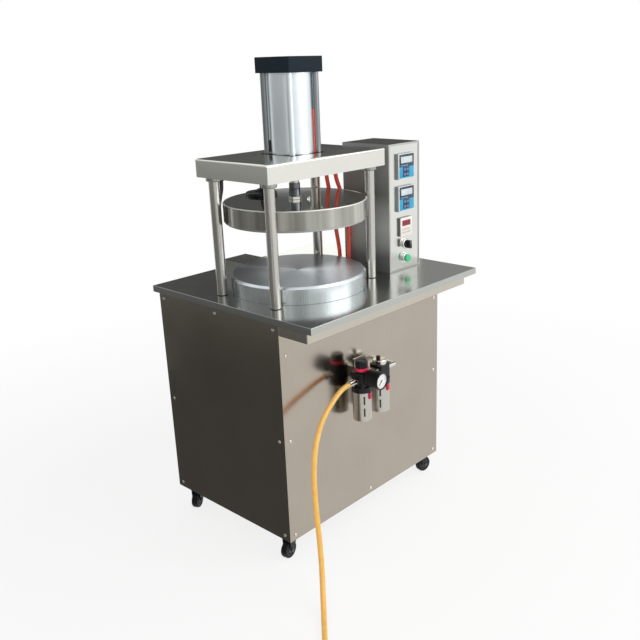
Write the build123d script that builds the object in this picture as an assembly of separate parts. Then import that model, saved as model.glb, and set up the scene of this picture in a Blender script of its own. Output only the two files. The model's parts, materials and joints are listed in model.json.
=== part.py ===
from build123d import *
import os
from math import cos, pi, radians, sin, sqrt, tan

# Pneumatic roti press: a stainless cabinet on casters, a heated lower platen on its table,
# and an upper heated platen that an air cylinder pushes down between four columns.
# Millimetres, +Z up. The origin is on the floor under the centre of the table.
# The front of the machine, with its air unit and its instruments, faces -Y.

# Table
TABLE_W = 700.0
TABLE_D = 630.0
TABLE_TOP = 716.0
SHEET = 1.5
LIP_H = 18.0
LIP_EDGE_R = 1.2

# Channel rim under the table, set back from its lip
RIM_FRONT_INSET = 29.0
RIM_H = 48.5
RIM_FLANGE = 24.0
RIM_WALL = 2.0
RIM_CORNER_R = 4.0
BEAM_W = 44.0
BEAM_H = 40.0
BEAM_WALL = 4.0
BEAM_NOTCH_CLEARANCE = 0.5

# Cabinet under the table
CAB_SIDE_INSET = 14.0
CAB_FRONT_INSET = 129.0
CAB_BACK_INSET = 8.0
CASTER_H = 72.0
BASE_H = 30.0
BASE_FLANGE = 64.0
POST = 30.0
POST_WALL = 3.0

# Panel screws
SCREW_D = 4.0
SCREW_HEAD_D = 9.0
SCREW_HEAD_H = 2.4
SCREW_HOLE_CLEARANCE = 0.2
SCREW_EDGE = 20.0
SCREW_LOW_RISE = 16.0
SCREW_TOP_DROP = 58.0
SCREW_RIM_RISE = 12.0

# Press head on four columns
PRESS_X = -102.0
PRESS_Y = -27.0
HEAD_W = 437.0
HEAD_D = 272.0
COLUMN_H = 318.0
SKIRT_H = 47.0
BEAM_PLATE_T = 12.0
COLUMN_INSET = 31.0
COLUMN_D = 28.0
STUD_D = 18.0
STUD_CLEARANCE = 0.3
COLLAR_D = 40.0
COLLAR_H = 12.0
COLLAR_CLEARANCE = 0.2
STUD_NUT_AF = 27.0
STUD_NUT_H = 15.0
STUD_OVERRUN = 3.0

# Air cylinder
CAP_SIDE = 125.0
CAP_CHAMFER = 3.0
REAR_CAP_H = 39.0
BARREL_H = 204.0
BORE_D = 100.0
LOBE_D = 114.0
EAR_D = 17.0
EAR_REACH = 75.0
EAR_NECK = 11.0
PISTON_H = 30.0
PISTON_CLEARANCE = 0.4
PISTON_TOP_GAP = 8.0
ROD_D = 25.0
ROD_CLEARANCE = 0.4
CAP_HOLE_CLEARANCE = 0.5
CYL_BOLT_D = 10.0
CYL_BOLT_PITCH = 90.0
CYL_BOLT_HEAD_D = 16.0
CYL_BOLT_HEAD_H = 10.0
CYL_BOLT_CLEARANCE = 0.3

# Heated platens
LOWER_PLATEN_D = 374.0
LOWER_PLATEN_H = 47.0
PLATEN_CHAMFER = 3.0
UPPER_PLATEN_D = 388.0
UPPER_PLATEN_H = 55.0
PLATEN_GAP = 142.0
BREAD_T = 1.5
BAND_T = 2.0
BAND_RISE = 3.0
RIM_LIFT = 1.0
COVER_T = 3.0
SHELF_W = 8.0
SHELF_T = 3.0
UPPER_PLATE_T = 25.0
PLATE_BOSS_D = 70.0
COVER_CLEARANCE = 0.2
PLATE_CLEARANCE = 0.5
COUPLING_D = 30.0
COUPLING_H = 32.0
COUPLING_NUT_AF = 36.0
COUPLING_NUT_H = 12.0
COUPLING_STUD_D = 20.0
COUPLING_STUD_L = 22.0

# Wiring box of the lower platen
TERMINAL_W = 94.0
TERMINAL_BACK_INSET = 65.0
TERMINAL_H = 44.0
TERMINAL_GAP = 0.2

# Glands and conduits
PLATEN_GLAND_DX = -2.0
PLATEN_GLAND_DY = 132.0
GLAND_FLANGE_D = 88.0
GLAND_FLANGE_H = 10.0
GLAND_FLANGE_R = 4.0
GLAND_BODY_D = 30.0
GLAND_BODY_H = 3.0
GLAND_NUT_D = 26.0
GLAND_NUT_H = 5.0
CONDUIT_D = 12.0
PLATEN_CABLE_D = 9.0
CABLE_RUN = 17.0
CABLE_LEAN = 8.0
COLUMN_CONDUIT = (-249.0, 99.0)
CONDUIT_GLAND_D = 24.0
CONDUIT_GLAND_H = 8.0
CONDUIT_TAPER_H = 10.0
CONDUIT_SWING = 17.0
CONDUIT_BACK = 2.5
# The conduit beside the column: shares of the drop from the head, and of its swing to the left
CONDUIT_LINE = [(0.113, 0.0), (0.182, 0.35), (0.264, 0.755), (0.406, 0.94), (0.594, 1.03), (0.792, 1.0)]

# Control box on the table
BOX_X = 146.0
BOX_Y = -152.0
BOX_W = 142.0
BOX_D = 174.0
BOX_H = 369.0
BOX_FLANGE = 5.0
CONTROLLER_SIDE = 72.0
CONTROLLER_BODY = 66.0
CONTROLLER_PROUD = 8.0
CONTROLLER_DEPTH = 70.0
UPPER_CONTROLLER_DROP = 65.0
CONTROLLER_PITCH = 92.0
TIMER_SIDE = 54.0
TIMER_BODY = 45.0
TIMER_PROUD = 7.0
TIMER_DEPTH = 60.0
TIMER_DROP = 240.0
CUTOUT_CLEARANCE = 0.3
SELECTOR_DROP = 292.0
BUTTON_DROP = 334.0
BEZEL_D = 30.0
BEZEL_H = 8.0
BARREL_D = 22.0
BARREL_L = 42.0
SWITCH_BORE = 18.6
SELECTOR_SHAFT_D = 18.0
SELECTOR_KNOB_D = 24.0
SELECTOR_KNOB_H = 16.0
SELECTOR_GRIP_W = 9.0
SELECTOR_GRIP_H = 10.0
BUTTON_D = 18.0
BUTTON_PROUD = 8.0
BUTTON_L = 18.0
SWITCH_GAP = 0.4
RELAY_W = 45.0
RELAY_D = 50.0
RELAY_H = 75.0
RELAY_GAP = 10.0
RELAY_Z = 250.0

# Air unit on the front panel: filter regulator on the left, lubricator on the right
FRL_STANDOFF = 45.0
REGULATOR_X = -79.0
FRL_PITCH = 77.0
FRL_DROP = 356.0
BOWL_H = 86.0
BOWL_D = 54.0
BOWL_FOOT_R = 5.0
BOWL_SLOT_W = 5.0
BOWL_SLOT_H = 25.0
BOWL_SLOT_DEPTH = 1.6
BOWL_SLOT_DROP = 21.5
BOWL_SLOT_PITCH = 35.0
FILTER_SLOT_TURN = 8.0
LUBRICATOR_SLOT_TURN = -5.0
COLLAR_RING_D = 57.0
COLLAR_RING_H = 16.0
FRL_BODY_SIDE = 44.0
FRL_BODY_H = 40.0
FRL_BODY_R = 8.0
PORT_DROP = 22.0
BONNET_D = 34.0
BONNET_H = 3.0
KNOB_GAP = 0.4
KNOB_RING_D = 39.0
KNOB_RING_H = 9.0
KNOB_D = 34.0
KNOB_H = 20.0
KNOB_FLATS = 12
GAUGE_D = 48.0
GAUGE_RISE = 10.0
GAUGE_L = 45.0
GAUGE_STEM_D = 16.0
GAUGE_STEM_L = 6.0
GAUGE_RIM = 3.0
DIAL_RECESS = 4.0
NEEDLE_L = 13.0
NEEDLE_TAIL = 5.0
NEEDLE_W = 1.6
NEEDLE_T = 0.8
NEEDLE_HUB_D = 4.0
NEEDLE_LIFT = 0.4
NEEDLE_REST = -135.0
DOME_D = 40.0
DOME_H = 14.0
ADJUSTER_DX = -6.0
ADJUSTER_D = 12.0
ADJUSTER_H = 9.0
ADJUSTER_STEM_D = 6.0
ADJUSTER_STEM_L = 6.0
ADJUSTER_CLEARANCE = 0.3
LOCK_W = 9.0
LOCK_H = 18.0
LOCK_T = 4.0
LOCK_GAP = 0.3
SPACER_SIDE = 30.0
BRACKET_T = 3.0
BRACKET_W = 44.0
BRACKET_RISE = 26.0
BARB_NUT_AF = 20.0
BARB_NUT_L = 7.0
FERRULE_D = 21.0
FERRULE_L = 10.0
OUTLET_NUT_L = 9.0
OUTLET_D = 13.0
OUTLET_REACH = 42.0
BULKHEAD_D = 22.0
BULKHEAD_L = 6.0

# Valve behind the front panel
VALVE_W = 100.0
VALVE_D = 32.0
VALVE_H = 40.0
COIL_SIDE = 26.0
COIL_L = 34.0
VALVE_DROP = 156.0

# Air lines of the cylinder
TUBE_D = 12.0
TUBE_FITTING_D = 20.0
TUBE_FITTING_H = 8.0
TUBE_BARREL_D = 14.0
TUBE_BARREL_CLEARANCE = 0.3
FITTING_NUT_H = 6.0
LEFT_TUBE_HEAD = (90.0, 38.0)
RIGHT_TUBE_HEAD = (88.0, 0.0)
LEFT_TUBE_TABLE = (141.0, 40.0)
RIGHT_TUBE_TABLE = (133.0, -3.0)
# The tubes' lines: shares of the drop from the head, and of the way across to the table fitting
LEFT_TUBE_LINE = [(0.09, 0.0), (0.24, 0.2), (0.43, 0.43), (0.63, 0.69), (0.80, 0.90), (0.91, 1.0)]
RIGHT_TUBE_LINE = [(0.10, 0.0), (0.215, 0.36), (0.37, 0.8), (0.58, 1.07), (0.76, 1.09), (0.90, 1.0)]
PIPE_D = 8.0
PIPE_BEND_R = 9.0
LOW_PIPE_RISE = 10.0
HIGH_PIPE_RISE = 22.0
RISER_DX = 84.0
RISER_DY = 14.0
REAR_PORT_DROP = 19.0
PIPE_HOLE_CLEARANCE = 1.5

# Supply hose
HOSE_D = 14.0
HOSE_COIL_TURNS = 2.0
HOSE_COIL_OUTER_TURNS = 1.6
HOSE_COIL_MEAN_R = 78.0
HOSE_COIL_GAP = 1.2
COUPLER_D = 16.0
COUPLER_L = 30.0
SPIGOT_D = 9.0
SPIGOT_L = 20.0
# The hose sweeps to the left and forward as it falls: mm from its barb, and share of the fall left
HOSE_FALL = [
    (34, 0, 1.0), (80, 6, 0.962), (140, 19, 0.898), (190, 39, 0.796), (221, 59, 0.664), (236, 77, 0.486),
    (242, 91, 0.309), (254, 107, 0.163), (282, 135, 0.061), (324, 177, 0.0), (389, 242, 0.0), (452, 308, 0.0)]

# Cable entry in the back panel
ENTRY_D = 25.0
ENTRY_X = 200.0
ENTRY_RISE = 70.0

# Casters
CASTER_INSET = 40.0
CASTER_PLATE = 50.0
CASTER_PLATE_T = 3.0
SWIVEL_D = 34.0
SWIVEL_H = 8.0
SWIVEL_GAP = 0.3
WHEEL_D = 50.0
WHEEL_W = 20.0
WHEEL_BORE_CLEARANCE = 0.3
AXLE_D = 6.0
TRAIL = 15.0
FORK_T = 2.5
FORK_GAP = 1.5
FORK_CROWN_T = 4.0
CASTER_YAW = {"front_left": 190.0, "front_right": 350.0, "rear_left": 208.0, "rear_right": 130.0}

# Levels and faces that follow from the sizes above
SHEET_UNDER = TABLE_TOP - SHEET
RIM_BOTTOM = SHEET_UNDER - RIM_H
CAB_X = TABLE_W / 2 - CAB_SIDE_INSET
CAB_FRONT = -TABLE_D / 2 + CAB_FRONT_INSET
CAB_BACK = TABLE_D / 2 - CAB_BACK_INSET
SCREW_MID_Z = (CASTER_H + RIM_BOTTOM) / 2
SCREW_FRONT_TOP_Z = RIM_BOTTOM - SCREW_TOP_DROP
FRAME_X = CAB_X - SHEET
FRAME_FRONT = CAB_FRONT + SHEET
FRAME_BACK = CAB_BACK - SHEET
RIM_FRONT = -TABLE_D / 2 + RIM_FRONT_INSET
SKIRT_BOTTOM = TABLE_TOP + COLUMN_H
HEAD_TOP = SKIRT_BOTTOM + SKIRT_H
PLATE_TOP = SKIRT_BOTTOM + BEAM_PLATE_T
COLUMN_DX = HEAD_W / 2 - COLUMN_INSET
COLUMN_DY = HEAD_D / 2 - COLUMN_INSET
COLUMNS = [(PRESS_X + i * COLUMN_DX, PRESS_Y + j * COLUMN_DY) for i in (-1, 1) for j in (-1, 1)]
REAR_CAP_BOTTOM = HEAD_TOP + BARREL_H
CYLINDER_TOP = REAR_CAP_BOTTOM + REAR_CAP_H
PISTON_TOP = REAR_CAP_BOTTOM - PISTON_TOP_GAP
LOWER_TOP = TABLE_TOP + LOWER_PLATEN_H
UPPER_BOTTOM = LOWER_TOP + PLATEN_GAP
UPPER_TOP = UPPER_BOTTOM + UPPER_PLATEN_H
STROKE = PLATEN_GAP - BREAD_T
COVER_TOP = UPPER_TOP - RIM_LIFT
COVER_UNDER = COVER_TOP - COVER_T
COUPLING_TOP = COVER_TOP + COUPLING_NUT_H + COUPLING_H
PANEL_FACE = BOX_Y + SHEET
PANEL_BACK = PANEL_FACE + SHEET
BOX_TOP = TABLE_TOP + BOX_H
INSTRUMENT_X = BOX_X + BOX_W / 2
FRL_Y = CAB_FRONT - FRL_STANDOFF
LUBRICATOR_X = REGULATOR_X + FRL_PITCH
FRL_BOWL_BOTTOM = TABLE_TOP - FRL_DROP
BOWL_TOP = FRL_BOWL_BOTTOM + BOWL_H
FRL_BODY_BOTTOM = BOWL_TOP + COLLAR_RING_H
FRL_BODY_TOP = FRL_BODY_BOTTOM + FRL_BODY_H
PORT_Z = FRL_BODY_TOP - PORT_DROP
GAUGE_Z = PORT_Z + GAUGE_RISE
BONNET_TOP = FRL_BODY_TOP + BONNET_H
GAUGE_BACK = FRL_Y - FRL_BODY_SIDE / 2 - GAUGE_STEM_L
GAUGE_FACE = GAUGE_BACK - GAUGE_L
DIAL_FACE = GAUGE_FACE + DIAL_RECESS
DOME_TOP = FRL_BODY_TOP + DOME_H
HOSE_EXIT_X = REGULATOR_X - FRL_BODY_SIDE / 2 - BARB_NUT_L - FERRULE_L
OUTLET_X = LUBRICATOR_X + FRL_BODY_SIDE / 2 + OUTLET_REACH
VALVE_Z = TABLE_TOP - VALVE_DROP
GLAND_X = PRESS_X + PLATEN_GLAND_DX
GLAND_Y = PRESS_Y + PLATEN_GLAND_DY
GLAND_TOP = COVER_TOP + GLAND_FLANGE_H + GLAND_BODY_H + GLAND_NUT_H
FITTING_TOP = TABLE_TOP + TUBE_FITTING_H
HEAD_FITTING_BOTTOM = SKIRT_BOTTOM - TUBE_FITTING_H


def block(x0, x1, y0, y1, z0, z1):
    """A box between two corners."""
    return Pos((x0 + x1) / 2, (y0 + y1) / 2, (z0 + z1) / 2) * Box(x1 - x0, y1 - y0, z1 - z0)


def post_block(x, y, z0, z1, width, depth):
    """An upright box centred on x and y."""
    return block(x - width / 2, x + width / 2, y - depth / 2, y + depth / 2, z0, z1)


def rod_z(x, y, z0, z1, d):
    return Pos(x, y, (z0 + z1) / 2) * Cylinder(d / 2, z1 - z0)


def rod_x(x0, x1, y, z, d):
    return Pos((x0 + x1) / 2, y, z) * Rot(0, 90, 0) * Cylinder(d / 2, x1 - x0)


def rod_y(y0, y1, x, z, d):
    return Pos(x, (y0 + y1) / 2, z) * Rot(90, 0, 0) * Cylinder(d / 2, y1 - y0)


def hex_z(x, y, z0, z1, across_flats):
    outline = RegularPolygon(across_flats / 2, 6, major_radius=False)
    return Pos(x, y, z0) * extrude(outline, z1 - z0)


def hex_x(x0, x1, y, z, across_flats):
    outline = RegularPolygon(across_flats / 2, 6, major_radius=False)
    return Pos(x0, y, z) * Rot(0, 90, 0) * extrude(outline, x1 - x0)


def upright_edges(shape):
    return shape.edges().filter_by(Axis.Z)


def save(name, *pieces):
    """One file for a node, which may be a group of separate solids."""
    solids = [solid for piece in pieces for solid in piece.solids()]
    shape = solids[0] if len(solids) == 1 else Compound(children=solids)
    export_step(shape, f"parts/{name}.step")


def make_table_top():
    """Folded sheet with a turned-down lip, bored for studs, air lines and wiring."""
    half_w, half_d = TABLE_W / 2, TABLE_D / 2
    top = block(-half_w, half_w, -half_d, half_d, TABLE_TOP - LIP_H, TABLE_TOP)
    top = fillet(top.faces().sort_by(Axis.Z)[-1].edges(), LIP_EDGE_R)
    top -= block(-half_w + SHEET, half_w - SHEET, -half_d + SHEET, half_d - SHEET,
                 TABLE_TOP - LIP_H, SHEET_UNDER)
    stud_hole = STUD_D + 2 * STUD_CLEARANCE
    for x, y in COLUMNS:
        top -= rod_z(x, y, SHEET_UNDER, TABLE_TOP, stud_hole)
    tube_hole = TUBE_BARREL_D + 2 * TUBE_BARREL_CLEARANCE
    for x, y in (LEFT_TUBE_TABLE, RIGHT_TUBE_TABLE):
        top -= rod_z(x, y, SHEET_UNDER, TABLE_TOP, tube_hole)
    save("table_top", top)


def make_table_frame():
    """Channel rim round the table and two folded beams under the columns."""
    rim = block(-FRAME_X, FRAME_X, RIM_FRONT, FRAME_BACK, RIM_BOTTOM, SHEET_UNDER)
    rim = fillet(upright_edges(rim), RIM_CORNER_R)
    rim -= block(-FRAME_X + RIM_FLANGE, FRAME_X - RIM_FLANGE, RIM_FRONT + RIM_FLANGE,
                 FRAME_BACK - RIM_FLANGE, RIM_BOTTOM, SHEET_UNDER)
    rim -= block(-FRAME_X + RIM_WALL, FRAME_X - RIM_WALL, RIM_FRONT + RIM_WALL,
                 FRAME_BACK - RIM_WALL, RIM_BOTTOM + RIM_WALL, SHEET_UNDER - RIM_WALL)
    beams = []
    y0, y1 = RIM_FRONT + RIM_FLANGE, FRAME_BACK - RIM_FLANGE
    for side in (-1, 1):
        x = PRESS_X + side * COLUMN_DX
        beam = block(x - BEAM_W / 2, x + BEAM_W / 2, y0, y1, SHEET_UNDER - BEAM_H, SHEET_UNDER)
        beam -= block(x - BEAM_W / 2 + BEAM_WALL, x + BEAM_W / 2 - BEAM_WALL, y0, y1,
                      SHEET_UNDER - BEAM_H, SHEET_UNDER - BEAM_WALL)
        for end in (-1, 1):
            beam -= rod_z(x, PRESS_Y + end * COLUMN_DY, SHEET_UNDER - BEAM_WALL, SHEET_UNDER,
                          STUD_D + 2 * STUD_CLEARANCE)
        beams.append(beam)
    save("table_frame", rim, *beams)


def make_cabinet_frame():
    """Mitred angle bars round the foot, four angle posts and a sheet floor."""
    top = CASTER_H + BASE_H
    ring = block(-FRAME_X, FRAME_X, FRAME_FRONT, FRAME_BACK, CASTER_H, top)
    ring -= block(-FRAME_X + BASE_FLANGE, FRAME_X - BASE_FLANGE, FRAME_FRONT + BASE_FLANGE,
                  FRAME_BACK - BASE_FLANGE, CASTER_H, top)
    ring -= block(-FRAME_X + POST_WALL, FRAME_X - POST_WALL, FRAME_FRONT + POST_WALL,
                  FRAME_BACK - POST_WALL, CASTER_H + POST_WALL, top)
    outer = [(-FRAME_X, FRAME_FRONT), (FRAME_X, FRAME_FRONT), (FRAME_X, FRAME_BACK), (-FRAME_X, FRAME_BACK)]
    toward = [(1, 1), (-1, 1), (-1, -1), (1, -1)]
    inner = [(x + i * BASE_FLANGE, y + j * BASE_FLANGE) for (x, y), (i, j) in zip(outer, toward)]
    bars = []
    for a, b in ((0, 1), (1, 2), (2, 3), (3, 0)):
        mitred = make_face(Polyline(outer[a], outer[b], inner[b], inner[a], close=True))
        bars.append(ring & Pos(0, 0, CASTER_H) * extrude(mitred, BASE_H))
    floor = block(-FRAME_X + POST_WALL, FRAME_X - POST_WALL, FRAME_FRONT + POST_WALL,
                  FRAME_BACK - POST_WALL, CASTER_H + POST_WALL, CASTER_H + POST_WALL + SHEET)
    posts = []
    for i in (-1, 1):
        for y, j in ((FRAME_FRONT, 1), (FRAME_BACK, -1)):
            xs = sorted((i * FRAME_X, i * (FRAME_X - POST)))
            ys = sorted((y, y + j * POST))
            inner_x = sorted((i * (FRAME_X - POST_WALL), i * (FRAME_X - POST)))
            inner_y = sorted((y + j * POST_WALL, y + j * POST))
            post = block(*xs, *ys, top, RIM_BOTTOM)
            post -= block(*inner_x, *inner_y, top, RIM_BOTTOM)
            posts.append(post)
    save("cabinet_frame", *bars, floor, *posts)


def front_screws():
    """Places of the front panel's screws."""
    low = CASTER_H + SCREW_LOW_RISE
    places = [(side * (CAB_X - SCREW_EDGE), z) for side in (-1, 1)
              for z in (low, SCREW_MID_Z, SCREW_FRONT_TOP_Z)]
    return places + [(0.0, low)]


def back_screws():
    """Places of the back panel's screws."""
    low, high = CASTER_H + SCREW_LOW_RISE, RIM_BOTTOM + SCREW_RIM_RISE
    return [(side * (CAB_X - SCREW_EDGE), z) for side in (-1, 1) for z in (low, SCREW_MID_Z, high)]


def side_screws():
    """Places of a side panel's screws, as y and z."""
    low, high = CASTER_H + SCREW_LOW_RISE, RIM_BOTTOM + SCREW_RIM_RISE
    front, back = CAB_FRONT + SCREW_EDGE, CAB_BACK - SCREW_EDGE
    places = [(y, z) for y in (front, back) for z in (low, SCREW_MID_Z, high)]
    return places + [((front + back) / 2, high)]


def make_panels():
    hole = SCREW_D + 2 * SCREW_HOLE_CLEARANCE
    front = block(-FRAME_X, FRAME_X, CAB_FRONT, FRAME_FRONT, CASTER_H, RIM_BOTTOM)
    inner = FRAME_X - RIM_FLANGE
    front += block(-inner, inner, CAB_FRONT, FRAME_FRONT, RIM_BOTTOM, SHEET_UNDER)
    notch_bottom = SHEET_UNDER - BEAM_H - BEAM_NOTCH_CLEARANCE
    notch_half = BEAM_W / 2 + BEAM_NOTCH_CLEARANCE
    for beam_x in (PRESS_X - COLUMN_DX, PRESS_X + COLUMN_DX):
        front -= block(beam_x - notch_half, beam_x + notch_half, CAB_FRONT, FRAME_FRONT,
                       notch_bottom, SHEET_UNDER)
    for x, z in front_screws():
        front -= rod_y(CAB_FRONT, FRAME_FRONT, x, z, hole)
    front -= rod_y(CAB_FRONT, FRAME_FRONT, OUTLET_X, PORT_Z, OUTLET_D + 2 * CUTOUT_CLEARANCE)
    save("front_panel", front)

    back = block(-FRAME_X, FRAME_X, FRAME_BACK, CAB_BACK, CASTER_H, SHEET_UNDER)
    for x, z in back_screws():
        back -= rod_y(FRAME_BACK, CAB_BACK, x, z, hole)
    back -= rod_y(FRAME_BACK, CAB_BACK, ENTRY_X, CASTER_H + ENTRY_RISE, ENTRY_D)
    save("back_panel", back)

    for name, side in (("left_panel", -1), ("right_panel", 1)):
        x0, x1 = sorted((side * FRAME_X, side * CAB_X))
        panel = block(x0, x1, CAB_FRONT, CAB_BACK, CASTER_H, SHEET_UNDER)
        for y, z in side_screws():
            panel -= rod_x(x0, x1, y, z, hole)
        save(name, panel)


def make_panel_screws():
    """Pan heads with a short shank through the sheet."""
    pan = Cylinder(SCREW_HEAD_D / 2, SCREW_HEAD_H, align=(Align.CENTER, Align.CENTER, Align.MIN))
    pan = fillet(pan.faces().sort_by(Axis.Z)[-1].edges(), SCREW_HEAD_H / 2)
    shank = Pos(0, 0, -SHEET) * Cylinder(SCREW_D / 2, SHEET, align=(Align.CENTER, Align.CENTER, Align.MIN))
    screw = pan + shank
    screws = [Pos(x, CAB_FRONT, z) * Rot(90, 0, 0) * screw for x, z in front_screws()]
    screws += [Pos(x, CAB_BACK, z) * Rot(-90, 0, 0) * screw for x, z in back_screws()]
    for side in (-1, 1):
        screws += [Pos(side * CAB_X, y, z) * Rot(0, side * 90, 0) * screw for y, z in side_screws()]
    save("panel_screws", *screws)


def make_columns():
    """Ground columns with a stud at each end, and the nuts and collars on them."""
    foot = SHEET_UNDER - BEAM_WALL
    columns, fasteners = [], []
    for x, y in COLUMNS:
        column = rod_z(x, y, TABLE_TOP, SKIRT_BOTTOM, COLUMN_D)
        column += rod_z(x, y, foot - STUD_NUT_H - STUD_OVERRUN, TABLE_TOP, STUD_D)
        column += rod_z(x, y, SKIRT_BOTTOM, PLATE_TOP + STUD_NUT_H + STUD_OVERRUN, STUD_D)
        columns.append(column)
        bore = STUD_D + 2 * COLLAR_CLEARANCE
        for z0, z1 in ((foot - STUD_NUT_H, foot), (PLATE_TOP, PLATE_TOP + STUD_NUT_H)):
            fasteners.append(hex_z(x, y, z0, z1, STUD_NUT_AF) - rod_z(x, y, z0, z1, bore))
        collar = rod_z(x, y, SKIRT_BOTTOM - COLLAR_H, SKIRT_BOTTOM, COLLAR_D)
        collar = chamfer(collar.faces().sort_by(Axis.Z)[0].edges(), BAND_T)
        collar -= rod_z(x, y, SKIRT_BOTTOM - COLLAR_H, SKIRT_BOTTOM, COLUMN_D + 2 * COLLAR_CLEARANCE)
        fasteners.append(collar)
    for x, y in cylinder_bolts():
        bolt = rod_z(x, y, SKIRT_BOTTOM - CYL_BOLT_HEAD_H, SKIRT_BOTTOM, CYL_BOLT_HEAD_D)
        bolt += rod_z(x, y, SKIRT_BOTTOM, PLATE_TOP, CYL_BOLT_D)
        fasteners.append(bolt)
    save("columns", *columns)
    save("press_fasteners", *fasteners)


def cylinder_bolts():
    half = CYL_BOLT_PITCH / 2
    return [(PRESS_X + i * half, PRESS_Y + j * half) for i in (-1, 1) for j in (-1, 1)]


def make_head():
    """Folded cover with a skirt over a thick plate that carries the cylinder."""
    x0, x1 = PRESS_X - HEAD_W / 2, PRESS_X + HEAD_W / 2
    y0, y1 = PRESS_Y - HEAD_D / 2, PRESS_Y + HEAD_D / 2
    cover = block(x0, x1, y0, y1, SKIRT_BOTTOM, HEAD_TOP)
    cover = fillet(cover.faces().sort_by(Axis.Z)[-1].edges(), LIP_EDGE_R)
    cover -= block(x0 + SHEET, x1 - SHEET, y0 + SHEET, y1 - SHEET, SKIRT_BOTTOM, HEAD_TOP - SHEET)
    side = CAP_SIDE + 2 * CAP_HOLE_CLEARANCE
    cover -= post_block(PRESS_X, PRESS_Y, HEAD_TOP - SHEET, HEAD_TOP, side, side)
    cover -= rod_z(PRESS_X + RISER_DX, PRESS_Y + RISER_DY, HEAD_TOP - SHEET, HEAD_TOP,
                   PIPE_D + 2 * PIPE_HOLE_CLEARANCE)
    save("head_cover", cover)

    plate = block(x0 + SHEET, x1 - SHEET, y0 + SHEET, y1 - SHEET, SKIRT_BOTTOM, PLATE_TOP)
    holes = [(x, y, STUD_D + 2 * STUD_CLEARANCE) for x, y in COLUMNS]
    holes += [(x, y, CYL_BOLT_D + 2 * CYL_BOLT_CLEARANCE) for x, y in cylinder_bolts()]
    holes += [(x, y, TUBE_BARREL_D + 2 * TUBE_BARREL_CLEARANCE)
              for x, y in (LEFT_TUBE_HEAD, RIGHT_TUBE_HEAD)]
    holes.append((PRESS_X, PRESS_Y, ROD_D + 4 * BAND_T))
    for x, y, d in holes:
        plate -= rod_z(x, y, SKIRT_BOTTOM, PLATE_TOP, d)
    save("head_plate", plate)


def make_cylinder():
    """Square caps, and a drawn barrel of four round lobes with an ear at each corner."""
    front = post_block(PRESS_X, PRESS_Y, PLATE_TOP, HEAD_TOP, CAP_SIDE, CAP_SIDE)
    front = chamfer(upright_edges(front), CAP_CHAMFER)
    front -= rod_z(PRESS_X, PRESS_Y, PLATE_TOP, HEAD_TOP, ROD_D + 2 * ROD_CLEARANCE)
    save("cylinder_front_cap", front)

    section = Circle(LOBE_D / 2)
    ear_centre = EAR_REACH - EAR_D / 2
    for turn in (45, 135, 225, 315):
        ear = Pos(ear_centre, 0) * Circle(EAR_D / 2)
        ear += Pos(ear_centre / 2, 0) * Rectangle(ear_centre, EAR_NECK)
        section += Rot(0, 0, turn) * ear
    section -= Circle(BORE_D / 2)
    barrel = Pos(PRESS_X, PRESS_Y, HEAD_TOP) * extrude(section, REAR_CAP_BOTTOM - HEAD_TOP)
    save("cylinder_barrel", barrel)

    rear = post_block(PRESS_X, PRESS_Y, REAR_CAP_BOTTOM, CYLINDER_TOP, CAP_SIDE, CAP_SIDE)
    rear = chamfer(upright_edges(rear), CAP_CHAMFER)
    rear = fillet(rear.faces().sort_by(Axis.Z)[-1].edges(), CAP_CHAMFER / 2)
    save("cylinder_rear_cap", rear)


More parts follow.
